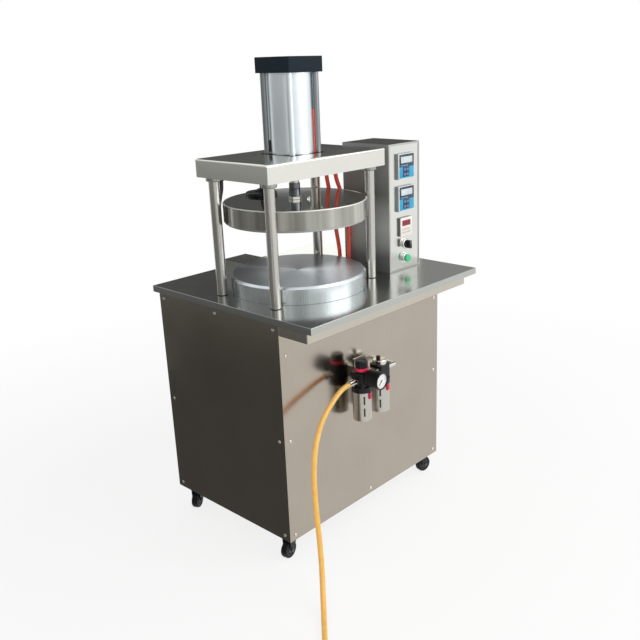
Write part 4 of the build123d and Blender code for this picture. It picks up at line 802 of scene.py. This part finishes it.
def tube_plastic(name, colour, rough, clear=0.0):
    """Smooth extruded plastic that lets some light in, with faint changes of tone along it."""
    finish, tree, shader = blank(name)
    spots = noise(tree, here(tree), scale=60.0)
    plug(tree, shader, {
        "Base Color": mottled(tree, spots, colour, dark=0.92, pale=1.06),
        "Roughness": spanned(tree, spots, 0, 1, *rough),
        "Normal": relief(tree, spots, strength=0.05, depth=TUBE_SKIN_DEPTH),
        "Coat Weight": 0.2, "Subsurface Weight": clear, "Subsurface Radius": LIGHT_REACH,
        "Subsurface Scale": 1.0})
    return finish


def groove_place(angle, height):
    """A point in one of the barrel's grooves."""
    return Vector((press_x + SENSOR_RADIUS * math.cos(angle), press_y + SENSOR_RADIUS * math.sin(angle),
                   height))


red_plastic = tube_plastic("red tube", tint(255, 92, 70), (0.28, 0.42))
switch_black = plastic("switch black", tint(30, 32, 36), (0.3, 0.45))
switch_and_groove_shade_grey = plastic("switch and groove shade grey", tint(98, 106, 112), (0.3, 0.45))
lead_points = [groove_place(FRONT_GROOVE, lead_top + share * (head_top - lead_top)) for share in LEAD_SHARES]
lead = fit(tube("sensor_lead", lead_points, LEAD_D, red_plastic), "frame", "red_tube")
# The front switch is grey and runs up its groove from the lead's top to the barrel's top: partly a switch
# body and partly painted shade of the groove.
position_switches = []
front_h = barrel_top - lead_top - SENSOR_DROP
for angle, foot, height, finish in ((FRONT_GROOVE, lead_top, front_h, switch_and_groove_shade_grey),
                                    (LEFT_GROOVE, head_top + SENSOR_RISE, SENSOR_H, switch_black)):
    spot = groove_place(angle, foot)
    half = Vector((SENSOR_W / 2, SENSOR_W / 2, 0))
    position_switches.append(moulded("position_switch", spot - half, spot + half + Vector((0, 0, height)),
                                     SENSOR_EDGE, finish))
fit(gather("position_switches", *position_switches), "frame", "black_plastic")

# Upper platen
# A rolled stainless band round an aluminium heating plate, closed by a dark polished cover.
# The cylinder's rod carries it by a round coupling with a hex nut, and its cable enters through a gland.
coat(column_steel, "piston_rod")
band_low, band_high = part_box("platen_housing")
band_r = (band_high.x - band_low.x) / 2
band_h = band_high.z - band_low.z
BAND_RIM = 0.0024
BAND_WALL = 0.003
RIM_NORMAL = 0.3
band_inner_r = band_r - BAND_WALL
BAND_RINGS = [
    (0, band_inner_r), (0, band_r - BAND_RIM), (BAND_RIM, band_r), (band_h - BAND_RIM, band_r),
    (band_h, band_r - BAND_RIM), (band_h, band_inner_r), (band_h - 0.0015, band_inner_r)]
# The band's broad upright streaks are partly grain and partly painted reflection.
band_steel = steel("band steel", tint(180, 179, 171), "Z", (0.14, 0.26), shade=0.30, bump=0.04, fine=700.0,
                   streaks=0.75)
# Painted highlight: the band's rims are a paler, rougher steel, so that its top and bottom edges show as
# bright lines.
band_rim_highlight_steel = steel("band rim painted highlight", tint(220, 220, 214), "Z", (0.45, 0.55))
band = turned("platen_band", BAND_RINGS, (press_x, press_y, band_low.z), UP, band_steel, PLATEN_SIDES)
faced(band, band_rim_highlight_steel, lambda face: abs(face.normal.z) > RIM_NORMAL)
fit(band, "press", "stainless_sheet", "platen_housing")
coat(steel("cover steel", tint(204, 210, 203), "X", (0.06, 0.12), shade=0.02, bump=0.006), "platen_cover")
# The heating plate's face has the same painted fans of light and shade.
coat(lathe_metal("plate aluminium", tint(206, 212, 216), (press_x, press_y), (0.24, 0.34), 0.6, PAINTED_LATHE_FANS),
     "upper_plate")
NUT_H = 0.009
NUT_R = 0.0178
COUPLING_R = 0.015
cover_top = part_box("platen_cover")[1].z
coupling_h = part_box("rod_coupling")[1].z - cover_top
coupling_spot = (press_x, press_y, cover_top)
NUT_RINGS = [
    (0, NUT_R - 0.0012), (0.0010, NUT_R), (NUT_H - 0.0014, NUT_R), (NUT_H, NUT_R - 0.0022),
    (NUT_H, COUPLING_R - 0.002)]
COUPLING_RINGS = [
    (NUT_H, COUPLING_R - 0.0010), (NUT_H + 0.0010, COUPLING_R), (coupling_h * 0.62, COUPLING_R),
    (coupling_h * 0.64, COUPLING_R - 0.0008), (coupling_h * 0.68, COUPLING_R - 0.0008),
    (coupling_h * 0.70, COUPLING_R), (coupling_h - 0.0010, COUPLING_R), (coupling_h, COUPLING_R - 0.0010),
    (coupling_h, 0.0128)]
coupling_dark = steel("coupling chrome", tint(112, 114, 118), "Z", (0.06, 0.14), shade=0.02, bump=0.01)
nut_steel = steel("nut steel", tint(232, 232, 228), "Z", (0.12, 0.2), shade=0.02, bump=0.01)
coupling_nut = turned("coupling_nut", NUT_RINGS, coupling_spot, UP, nut_steel, 6)
coupling = turned("coupling_barrel", COUPLING_RINGS, coupling_spot, UP, coupling_dark, 64)
fit(gather("rod_coupling_and_nut", coupling, coupling_nut), "press", "bright_steel", "rod_coupling")
GLAND_FLANGE = [
    (0, 0.0430), (0.0010, 0.0440), (0.0060, 0.0440), (0.0082, 0.0432), (0.0095, 0.0414), (0.0100, 0.0390),
    (0.0100, 0.0180)]
GLAND_NUT = [(0.0095, 0.0168), (0.0100, 0.0173), (0.0124, 0.0173), (0.0130, 0.0164)]
GLAND_DOME = [(0.0126, 0.0130), (0.0142, 0.0130), (0.0162, 0.0120), (0.0174, 0.0098), (0.0180, 0.0066)]
gland_black = plastic("gland black", tint(20, 24, 26), (0.25, 0.4), worn=0.15, shine=0.3)
gland_low, gland_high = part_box("platen_gland")
gland_x, gland_y, _ = middle(gland_low, gland_high)
gland_parts = [turned(name, rings, (gland_x, gland_y, gland_low.z), UP, gland_black, sides)
               for name, rings, sides in (("gland_flange", GLAND_FLANGE, 72), ("gland_nut", GLAND_NUT, 6),
                                          ("gland_dome", GLAND_DOME, 48))]
fit(gather("platen_cable_gland", *gland_parts), "press", "black_plastic", "platen_gland")
COVER_PLUG_X = -0.0818
COVER_PLUG_Y = -0.0593
PLUG_NUT = [(0, 0.0048), (0.0030, 0.0048), (0.0036, 0.0040)]
PLUG_STEM = [(0.0030, 0.0028), (0.0058, 0.0028), (0.0064, 0.0022)]
plug_parts = [turned(name, rings, (COVER_PLUG_X, COVER_PLUG_Y, cover_top), UP, nut_steel, sides)
              for name, rings, sides in (("plug_nut", PLUG_NUT, 6), ("plug_stem", PLUG_STEM, 20))]
fit(gather("cover_plug", *plug_parts), "press", "bright_steel")

# Control box
# A folded stainless box stands on the table, and the instrument panel lies behind its inward flange.
# The two solid relays inside it switch the heaters.
BOX_EDGE = 0.0009
BOX_NORMAL = 0.9
INSTRUMENT_PANEL_EDGE = 0.0004
# Painted light and shade: levels for the box's left side, in bands from bottom to top.
BOX_SIDE_PAINTED_LIGHT = [
    (0.0, 0.50), (0.12, 0.62), (0.24, 1.5), (0.36, 1.8), (0.50, 1.3), (0.62, 0.70), (0.78, 0.95), (1.0, 1.0)]
box_steel = steel("control box steel", tint(184, 185, 180), "Z", (0.42, 0.52))
instrument_steel = steel("instrument panel steel", tint(224, 225, 220), "Z", (0.16, 0.26))
box_top_steel = steel("box top steel", tint(190, 191, 187), "X", (0.10, 0.18))
# Painted shade: the box's left side is a darker, duller copy of its steel.
box_side_painted_shade_steel = steel("box side painted shade steel", tint(146, 148, 144), "Z", (0.40, 0.50), metal=0.3)
box_low, box_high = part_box("control_box")
shaded(box_side_painted_shade_steel, spread(box_side_painted_shade_steel, (0, 0, 0))["Z"], box_low.z, box_high.z, BOX_SIDE_PAINTED_LIGHT)
control_box = eased("control_box", BOX_EDGE, box_steel)
faced(control_box, box_top_steel, lambda face: face.normal.z > BOX_NORMAL)
faced(control_box, box_side_painted_shade_steel, lambda face: face.normal.x < -BOX_NORMAL)
fit(control_box, "frame", "stainless_sheet", "control_box")
refined("control_panel", INSTRUMENT_PANEL_EDGE, instrument_steel, "stainless_sheet")
coat(plastic("relay black", tint(34, 36, 38), (0.35, 0.5)), "power_relays")

# Temperature controllers
# Two panel controllers, one for each platen: a grey moulded case with a pale display in a navy frame,
# and a bright blue keypad with a dark key block under it.
CONTROLLER_SIDE = 0.072
PLATE_EDGE = 0.0004
PLATE_SUNK = 0.0005
controllers_low, controllers_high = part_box("temperature_controllers")
face_x = middle(controllers_low, controllers_high)[0]
coat(plastic("controller case", tint(134, 136, 132), (0.35, 0.5)), "temperature_controllers")
face_white = plastic("controller rim", tint(214, 222, 224), (0.3, 0.45))
navy = plastic("controller navy", tint(39, 56, 74), (0.2, 0.32))
display_pale = plastic("display pale", tint(207, 216, 220), (0.12, 0.22), bump=0.0)
keypad_blue = plastic("keypad blue", tint(44, 160, 200), (0.3, 0.42))
key_blue = plastic("key block blue", tint(16, 50, 92), (0.3, 0.42))
key_pale = plastic("key pale", tint(104, 134, 164), (0.3, 0.45))
# Plates on the face: left, right, bottom and top as shares of its side, height proud in metres, finish.
CONTROLLER_PLATES = [
    (0.00, 1.00, 0.00, 1.00, 0.0006, face_white), (0.05, 0.98, 0.48, 0.97, 0.0011, navy),
    (0.05, 0.98, 0.04, 0.48, 0.0010, keypad_blue), (0.15, 0.87, 0.63, 0.88, 0.0015, display_pale),
    (0.12, 0.60, 0.51, 0.565, 0.0014, key_pale), (0.27, 0.68, 0.09, 0.47, 0.0015, key_blue),
    (0.32, 0.45, 0.33, 0.42, 0.0020, key_pale), (0.50, 0.63, 0.33, 0.42, 0.0020, key_pale),
    (0.32, 0.45, 0.14, 0.23, 0.0020, key_pale), (0.50, 0.63, 0.14, 0.23, 0.0020, key_pale)]


def face_plates(name, middle_x, middle_z, side, front, plates):
    """Thin moulded plates on an instrument's face."""
    left, bottom = middle_x - side / 2, middle_z - side / 2
    pieces = []
    for x0, x1, z0, z1, proud, finish in plates:
        low = (left + x0 * side, front - proud, bottom + z0 * side)
        high = (left + x1 * side, front + PLATE_SUNK, bottom + z1 * side)
        pieces.append(moulded(name, low, high, PLATE_EDGE, finish, 2))
    return gather(name, *pieces)


for name, face_z in (("upper_controller_face", controllers_high.z - CONTROLLER_SIDE / 2),
                     ("lower_controller_face", controllers_low.z + CONTROLLER_SIDE / 2)):
    face = face_plates(name, face_x, face_z, CONTROLLER_SIDE, controllers_low.y, CONTROLLER_PLATES)
    fit(face, "frame", "controller")

# Cycle timer
# A small panel timer with a cream face, a red window for its digits and two rows of setting keys.
# Its case is grey plastic, clipped into the panel from the front.
timer_low, timer_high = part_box("cycle_timer")
timer_x, _, timer_z = middle(timer_low, timer_high)
timer_side = timer_high.x - timer_low.x
coat(plastic("timer case", tint(104, 104, 100), (0.35, 0.5)), "cycle_timer")
cream = plastic("timer cream", tint(243, 237, 232), (0.3, 0.45))
window_red = plastic("timer window", tint(168, 44, 62), (0.1, 0.2), bump=0.0)
digit_dark = plastic("timer digits", tint(110, 22, 36), (0.15, 0.25))
key_cream = plastic("timer keys", tint(216, 206, 198), (0.35, 0.5))
TIMER_PLATES = [(0.00, 1.00, 0.00, 1.00, 0.0006, cream), (0.14, 0.86, 0.55, 0.86, 0.0012, window_red)]
TIMER_PLATES += [(0.22 + 0.21 * n, 0.37 + 0.21 * n, 0.61, 0.80, 0.0015, digit_dark) for n in range(3)]
TIMER_PLATES += [(0.16 + 0.18 * n, 0.30 + 0.18 * n, z, z + 0.1, 0.0016, key_cream) for n in range(4)
                 for z in (0.16, 0.33)]
timer_face = face_plates("timer_face", timer_x, timer_z, timer_side, timer_low.y, TIMER_PLATES)
fit(timer_face, "frame", "timer")

# Switches
# A selector with a black bar grip and a green push button, each in a chromed bezel.
# The grip turns an eighth of a turn either way, and the button springs back.
BEZEL_EDGE = 0.0006
GRIP_EDGE = 0.0012
MARK_W = 0.0016
MARK_FOOT = 0.002
MARK_END = 0.0105
MARK_PROUD = 0.0004
MARK_SUNK = 0.001
MARK_EDGE = 0.0003
chrome = steel("switch chrome", tint(228, 228, 226), "Y", (0.05, 0.1), shade=0.01, bump=0.0)
refined("switch_bezels", BEZEL_EDGE, chrome, "black_plastic")
selector_low, selector_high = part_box("selector_knob")
selector_x, _, selector_z = middle(selector_low, selector_high)
selector_front = selector_low.y
grip_black = plastic("selector black", tint(26, 27, 30), (0.25, 0.4), worn=0.2)
mark_white = plastic("selector mark", tint(232, 232, 228), (0.35, 0.5))
selector = eased("selector_knob", GRIP_EDGE, grip_black, 3)
mark = moulded("selector_mark",
               (selector_x - MARK_W / 2, selector_front - MARK_PROUD, selector_z + MARK_FOOT),
               (selector_x + MARK_W / 2, selector_front + MARK_SUNK, selector_z + MARK_END),
               MARK_EDGE, mark_white, 2)
fit(gather("selector_grip", selector, mark), "selector_knob", "black_plastic", "selector_knob")
button_low, button_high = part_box("start_button")
button_x, _, button_z = middle(button_low, button_high)
button_r = (button_high.x - button_low.x) / 2
button_l = button_high.y - button_low.y
LENS_H = 0.0034
LENS_R = 0.0112
BUTTON_RINGS = [
    (0, button_r), (button_l - LENS_H, button_r), (button_l - LENS_H, LENS_R - 0.0004),
    (button_l - LENS_H + 0.0006, LENS_R), (button_l - 0.0016, LENS_R), (button_l - 0.0005, LENS_R - 0.0010),
    (button_l, LENS_R - 0.0028), (button_l, 0.002)]
green = plastic("button green", tint(62, 205, 140), (0.18, 0.3), bump=0.02)
button = turned("green_button", BUTTON_RINGS, (button_x, button_high.y, button_z), FORWARD, green)
fit(button, "start_button", "green_button", "start_button")

# Air unit
# A filter regulator and a lubricator in black moulded bodies, with metal bowl guards under them.
# Dark sight slots show in the guards, one above the other.
BODY_EDGE = 0.0010
BOWL_R = 0.027
SLOT_W = 0.005
SLOT_H = 0.025
SLOT_FLOOR = 0.0016
SLOT_DROP = 0.0215
SLOT_PITCH = 0.035
SLOT_TURNS = (45, 135, 225, 315)
SIGHT_THICK = 0.0009
SIGHT_EDGE = 0.0003
FILTER_SLOT_TURN = 8
LUBRICATOR_SLOT_TURN = -5
unit_black = plastic("air unit black", tint(20, 21, 24), (0.3, 0.44), worn=0.25, shine=0.3)
bowl_metal = steel("bowl metal", tint(194, 191, 184), "Z", (0.24, 0.36), shade=0.04, bump=0.05)
sight_dark = plastic("sight slot", tint(44, 42, 38), (0.08, 0.16), bump=0.0)
refined("regulator_body", BODY_EDGE, unit_black, "black_plastic", 3)
coat(bowl_metal, "frl_bowls")
bowls_low, bowls_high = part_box("frl_bowls")
unit_y = middle(bowls_low, bowls_high)[1]
sights = []
for x, slot_turn in ((bowls_low.x + BOWL_R, FILTER_SLOT_TURN), (bowls_high.x - BOWL_R, LUBRICATOR_SLOT_TURN)):
    for turn in SLOT_TURNS:
        angle = math.radians(turn + slot_turn)
        out = Vector((math.cos(angle), math.sin(angle), 0))
        upright_face = Matrix(((0, out.y, out.x), (0, -out.x, out.y), (1, 0, 0))).to_4x4()
        for step in (0, 1):
            height = bowls_high.z - SLOT_DROP - step * SLOT_PITCH
            spot = Vector((x, unit_y, height)) + out * (BOWL_R - SLOT_FLOOR)
            sight = moulded("sight", (-SLOT_H / 2, -SLOT_W / 2, 0), (SLOT_H / 2, SLOT_W / 2, SIGHT_THICK),
                            SIGHT_EDGE, sight_dark, 2)
            sight.data.transform(Matrix.Translation(spot) @ upright_face)
            sights.append(sight)
fit(gather("bowl_sights", *sights), "frame", "black_plastic")

# Regulator knob
# A black knob with finger flats stands on a red locking ring and turns the regulator's spring.
# Both are moulded, and the ring is pushed down to lock the setting.
knob_low, knob_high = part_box("regulator_knob")
regulator_x = middle(knob_low, knob_high)[0]
knob_h = knob_high.z - knob_low.z
RING_H = 0.009
RING_R = 0.0195
GRIP_R = 0.0172
GRIP_FLATS = 12
FLAT_PITCH = 360 / GRIP_FLATS
FLAT_BORDER = 0.0006
FLAT_DEPTH = 0.0009
FLAT_REACH = 0.004
SIDE_NORMAL = 0.1
LOCK_RING = [
    (0, RING_R - 0.0008), (0.0008, RING_R), (RING_H - 0.001, RING_R), (RING_H, RING_R - 0.0012),
    (RING_H, GRIP_R - 0.003)]
GRIP_RINGS = [
    (RING_H - 0.001, GRIP_R - 0.0004), (RING_H + 0.002, GRIP_R - 0.0004), (RING_H + 0.003, GRIP_R),
    (knob_h - 0.004, GRIP_R), (knob_h - 0.0015, GRIP_R - 0.0010), (knob_h, GRIP_R - 0.0030),
    (knob_h, 0.012), (knob_h - 0.0012, 0.0112), (knob_h - 0.0012, 0.002)]
knob_foot = (regulator_x, unit_y, knob_low.z)
lock_red = plastic("lock red", tint(214, 38, 76), (0.3, 0.42))
ring = turned("lock_ring", LOCK_RING, knob_foot, UP, lock_red, 64)
grip = turned("knob_grip", GRIP_RINGS, knob_foot, UP, unit_black, GRIP_FLATS * 4)
grip_middle = knob_low.z + (RING_H + knob_h) / 2


def finger_flat(face):
    """Whether a face of the grip's side lies in a finger flat."""
    angle = math.degrees(math.atan2(face.center.y - unit_y, face.center.x - regulator_x))
    on_side = abs(face.center.z - grip_middle) < FLAT_REACH and abs(face.normal.z) < SIDE_NORMAL
    return on_side and angle % FLAT_PITCH < FLAT_PITCH / 2


take(grip)
pick(grip, "FACE", finger_flat)
bpy.ops.mesh.inset(thickness=FLAT_BORDER, depth=-FLAT_DEPTH)
leave_editing()
fit(gather("regulator_handwheel", grip, ring), "regulator_knob", "black_plastic", "regulator_knob")

# Pressure gauge
# A round black gauge on the regulator's front, with a white dial, a thin dark needle and a clear lens.
# Its dial has plain figures from 0 to 10 round three quarters of a turn.
GAUGE_EDGE = 0.0006
DIAL_R = 0.0209
DIAL_BACK = 0.0040
DIAL_THICK = 0.0002
FIRST_TICK = math.radians(-135)
SWEEP = math.radians(270)
TICKS = 20
TICK_GAP = 0.001
TICK_W = 0.0004
TICK_THICK = 0.0001
LONG_TICK = 0.0032
SHORT_TICK = 0.0018
LAST_FIGURE = 10
FIGURE_STEP = 2
FIGURE_H = 0.0044
FIGURE_PROUD = 0.0003
FIGURE_REACH = DIAL_R - 0.0072
LENS_BACK = 0.0016
LENS_RINGS = [(0, DIAL_R), (0.0006, DIAL_R), (0.0009, DIAL_R - 0.004), (0.0010, 0.004)]
case_low, case_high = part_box("gauge_case")
gauge_z = middle(case_low, case_high)[2]
refined("gauge_case", GAUGE_EDGE, unit_black, "black_plastic")
coat(plastic("needle black", tint(24, 24, 26), (0.35, 0.5)), "gauge_needle")
dial_y = case_low.y + DIAL_BACK
dial_white = plastic("dial white", tint(242, 243, 242), (0.35, 0.5), bump=0.0)
ink = plastic("dial ink", tint(36, 38, 42), (0.4, 0.55), bump=0.0)
dial_pieces = [turned("dial", [(0, DIAL_R), (DIAL_THICK, DIAL_R)], (regulator_x, dial_y, gauge_z), FORWARD,
                      dial_white, 64)]
for number in range(TICKS + 1):
    angle = FIRST_TICK + SWEEP * number / TICKS
    long = LONG_TICK if number % 2 == 0 else SHORT_TICK
    tick = moulded("tick", (-TICK_W / 2, -TICK_THICK, DIAL_R - TICK_GAP - long),
                   (TICK_W / 2, 0.0, DIAL_R - TICK_GAP), 0, ink)
    tick_spot = (regulator_x, dial_y - DIAL_THICK, gauge_z)
    tick.data.transform(Matrix.Translation(tick_spot) @ Matrix.Rotation(angle, 4, "Y"))
    dial_pieces.append(tick)
for number in range(0, LAST_FIGURE + 1, FIGURE_STEP):
    angle = FIRST_TICK + SWEEP * number / LAST_FIGURE
    bpy.ops.object.select_all(action="DESELECT")
    bpy.ops.object.text_add(location=(0, 0, 0))
    figure = bpy.context.object
    figure.data.body = str(number)
    figure.data.size = FIGURE_H
    figure.data.align_x = "CENTER"
    figure.data.align_y = "CENTER"
    bpy.ops.object.convert(target="MESH")
    spot = (regulator_x + FIGURE_REACH * math.sin(angle), dial_y - FIGURE_PROUD,
            gauge_z + FIGURE_REACH * math.cos(angle))
    figure.data.transform(Matrix.Translation(spot) @ Matrix.Rotation(math.radians(90), 4, "X"))
    dress(figure.data, ink)
    dial_pieces.append(figure)
fit(gather("gauge_dial", *dial_pieces), "frame", "black_plastic")
lens_glass, lens_tree, lens_shader = blank("gauge lens")
smears = noise(lens_tree, here(lens_tree), scale=120.0)
plug(lens_tree, lens_shader, {
    "Base Color": (1, 1, 1, 1), "Transmission Weight": 1.0, "IOR": 1.1,
    "Roughness": spanned(lens_tree, smears, 0, 1, 0, 0.08)})
lens = turned("gauge_lens", LENS_RINGS, (regulator_x, case_low.y + LENS_BACK, gauge_z), FORWARD,
              lens_glass, 64)
fit(lens, "frame", "black_plastic")

# Lubricator
# Its black body holds a bright sight dome on top, where the oil drops can be seen.
# A small black screw in the dome sets how fast they fall.
BODY_H = 0.056
DOME_GAP = 0.0006
ADJUSTER_EDGE = 0.0006
lubricator = eased("lubricator_body", BODY_EDGE, unit_black, 3)
dome_metal = steel("dome silver", tint(216, 214, 208), "X", (0.08, 0.16), bump=0.01)
dome_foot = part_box("regulator_body")[0].z + BODY_H + DOME_GAP
faced(lubricator, dome_metal, lambda face: face.center.z > dome_foot)
fit(lubricator, "frame", "black_plastic", "lubricator_body")
adjuster = eased("lubricator_adjuster", ADJUSTER_EDGE, unit_black)
fit(adjuster, "lubricator_adjuster", "black_plastic", "lubricator_adjuster")

# Bowl locks
# A red sliding tab on the front of each bowl keeps it from turning out of its ring.
# It is pulled down against a spring to free the bowl.
TAB_EDGE = 0.0006
RIB_RISE = 0.004
RIB_PITCH = 0.0032
RIB_H = 0.0014
RIB_INSET = 0.0015
RIB_PROUD = 0.0006
RIB_SUNK = 0.001
RIB_EDGE = 0.0004
for name in ("filter_lock", "lubricator_lock"):
    tab_low, tab_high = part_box(name)
    tab = eased(name, TAB_EDGE, lock_red)
    ribs = []
    for step in range(3):
        z = tab_low.z + RIB_RISE + RIB_PITCH * step
        ribs.append(moulded("rib", (tab_low.x + RIB_INSET, tab_low.y - RIB_PROUD, z),
                            (tab_high.x - RIB_INSET, tab_low.y + RIB_SUNK, z + RIB_H), RIB_EDGE, lock_red, 2))
    fit(gather(name + "_tab", tab, *ribs), name, "red_plastic", name)

# Bracket and fittings
# A cast bracket joins the two units and bolts them to the front panel.
# The hose barb has a crimped ferrule, and the outlet pipe turns back through the panel.
FITTING_EDGE = 0.0005
coat(steel("bracket aluminium", tint(176, 176, 170), "X", (0.28, 0.4), shade=0.05, bump=0.06), "frl_bracket")
fitting_steel = steel("fitting nickel", tint(208, 206, 202), "X", (0.1, 0.2), bump=0.02)
refined("frl_fittings", FITTING_EDGE, fitting_steel, "bright_steel")
coat(fitting_steel, "air_fittings", "hose_coupler")
coat(plastic("valve black", tint(38, 40, 44), (0.35, 0.5)), "solenoid_valve")

# Air tubes
# Two red polyurethane tubes hang from push-in fittings under the head to fittings in the table.
# They bow out to the right under their own weight.
TUBE_D = 0.012
LEFT_TUBE_ROUTE = [
    (0.0900, 0.0380, 1.0260), (0.0900, 0.0380, 0.9988), (0.1002, 0.0380, 0.9535), (0.1119, 0.0380, 0.8961),
    (0.1252, 0.0394, 0.8357), (0.1359, 0.0398, 0.7844), (0.1410, 0.0400, 0.7512), (0.1410, 0.0400, 0.7240)]
RIGHT_TUBE_ROUTE = [
    (0.0880, 0.0000, 1.0260), (0.0880, 0.0000, 0.9958), (0.1042, 0.0000, 0.9611), (0.1240, 0.0000, 0.9143),
    (0.1362, -0.0030, 0.8508), (0.1371, -0.0030, 0.7965), (0.1330, -0.0030, 0.7542),
    (0.1330, -0.0030, 0.7240)]
LEFT_TUBE_L = 0.307
RIGHT_TUBE_L = 0.310
for name, route, length in (("left_air_tube", LEFT_TUBE_ROUTE, LEFT_TUBE_L),
                            ("right_air_tube", RIGHT_TUBE_ROUTE, RIGHT_TUBE_L)):
    red_tube = fit(tube(name + "_line", route, TUBE_D, red_plastic), "frame", "red_tube", name)

# Conduits
# A black conduit bows from the head to the table beside the rear left column.
# A short black cable joins the head to the moving platen.
CONDUIT_D = 0.012
CABLE_D = 0.009
COLUMN_ROUTE = [
    (-0.2490, 0.0990, 1.0160), (-0.2490, 0.0990, 0.9981), (-0.2550, 0.0999, 0.9761),
    (-0.2618, 0.1009, 0.9501), (-0.2650, 0.1014, 0.9049), (-0.2665, 0.1016, 0.8451),
    (-0.2660, 0.1015, 0.7821), (-0.2660, 0.1015, 0.7160)]
PLATEN_ROUTE = [
    (-0.1040, 0.1050, 0.9770), (-0.1040, 0.1050, 0.9940), (-0.0960, 0.0970, 1.0170),
    (-0.0960, 0.0970, 1.0340)]
CONDUIT_GLAND = [
    (0, 0.0115), (0.0008, 0.0120), (0.0070, 0.0120), (0.0080, 0.0110), (0.0090, 0.0106), (0.0170, 0.0084),
    (0.0180, 0.0076), (0.0180, 0.0061)]
black_cable = tube_plastic("black conduit", tint(24, 26, 28), (0.35, 0.5))
conduit_x, conduit_y, _ = COLUMN_ROUTE[0]
conduit_gland = turned("conduit_gland", CONDUIT_GLAND, (conduit_x, conduit_y, head_low.z), (0, 0, -1),
                       gland_black)
fit(conduit_gland, "frame", "black_conduit")
conduit = tube("column_conduit_line", COLUMN_ROUTE, CONDUIT_D, black_cable)
fit(conduit, "frame", "black_conduit", "column_conduit")
bare_line = tube("cable_path", PLATEN_ROUTE, 0.0, black_cable)
bpy.context.view_layer.update()
shown_line = bare_line.evaluated_get(bpy.context.evaluated_depsgraph_get())
path_mesh = bpy.data.meshes.new_from_object(shown_line)
bpy.data.objects.remove(bare_line)
cable = tube("platen_cable", PLATEN_ROUTE, CABLE_D, black_cable)
take(cable)
bpy.ops.object.convert(target="MESH")
cable = bpy.context.object
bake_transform(cable)
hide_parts("platen_conduit")

# Supply hose
# Orange polyurethane hose, pushed on the regulator's barb and held by a ferrule.
# It sweeps left and down to the floor, and its spare length lies there in a coil.
HOSE_D = 0.014
HOSE_ROUTE = [
    (-0.1180, -0.2310, 0.4800), (-0.1520, -0.2310, 0.4800), (-0.1980, -0.2370, 0.4620),
    (-0.2580, -0.2500, 0.4318), (-0.3080, -0.2700, 0.3835), (-0.3390, -0.2900, 0.3211),
    (-0.3540, -0.3080, 0.2369), (-0.3600, -0.3220, 0.1532), (-0.3720, -0.3380, 0.0841),
    (-0.4000, -0.3660, 0.0359), (-0.4420, -0.4080, 0.0070), (-0.5070, -0.4730, 0.0070),
    (-0.5700, -0.5390, 0.0070)]
COIL_MEAN_R = 0.078
COIL_TURNS = 2.0
COIL_CLIMB_TURNS = 0.5
COIL_OUT_TURNS = 1.6
COIL_GAP = 0.0012
COIL_PITCH = HOSE_D + COIL_GAP
COIL_STEPS = 16
FERRULE = [
    (0, 0.0086), (0.0008, 0.0094), (0.0050, 0.0094), (0.0056, 0.0088), (0.0074, 0.0088), (0.0080, 0.0094),
    (0.0146, 0.0094), (0.0154, 0.0086), (0.0154, 0.0071)]


def coil_point(turn):
    """The coil's line after a number of turns: inwards, up a layer, and outwards again."""
    outer = COIL_MEAN_R + COIL_PITCH * COIL_TURNS / 2
    inner = outer - COIL_PITCH * COIL_TURNS
    height = HOSE_D / 2
    if turn < COIL_TURNS:
        radius = outer - COIL_PITCH * turn
    elif turn < COIL_TURNS + COIL_CLIMB_TURNS:
        climb = 2 * math.pi * (turn - COIL_TURNS)
        radius = inner - COIL_PITCH * math.sin(climb) / (2 * math.pi)
        height += COIL_PITCH * (1 - math.cos(climb)) / 2
    else:
        radius = inner + COIL_PITCH * (turn - COIL_TURNS - COIL_CLIMB_TURNS)
        height += COIL_PITCH
    start, before = Vector(HOSE_ROUTE[-1]), Vector(HOSE_ROUTE[-2])
    ahead = (start - before).normalized()
    aside = Vector((ahead.y, -ahead.x, 0))
    centre = start + ahead * HOSE_D + aside * outer
    angle = 2 * math.pi * turn
    point = centre - aside * (radius * math.cos(angle)) + ahead * (radius * math.sin(angle))
    return Vector((point.x, point.y, height))


turns = COIL_TURNS + COIL_CLIMB_TURNS + COIL_OUT_TURNS
steps = round(turns * COIL_STEPS)
coil_line = [coil_point(turns * step / steps) for step in range(steps + 1)]
coil_end = (coil_line[-1] - coil_line[-2]).normalized()
hose_line = HOSE_ROUTE + coil_line + [coil_line[-1] + coil_end * HOSE_D]
hose_orange = tube_plastic("orange hose", tint(250, 189, 98), (0.25, 0.4), clear=0.8)
hose = tube("air_hose_line", hose_line, HOSE_D, hose_orange)
fit(hose, "frame", "orange_hose", "air_hose", "hose_coil")
ferrule = turned("hose_ferrule", FERRULE, HOSE_ROUTE[0], (-1, 0, 0), fitting_steel, 40)
fit(ferrule, "frame", "bright_steel")
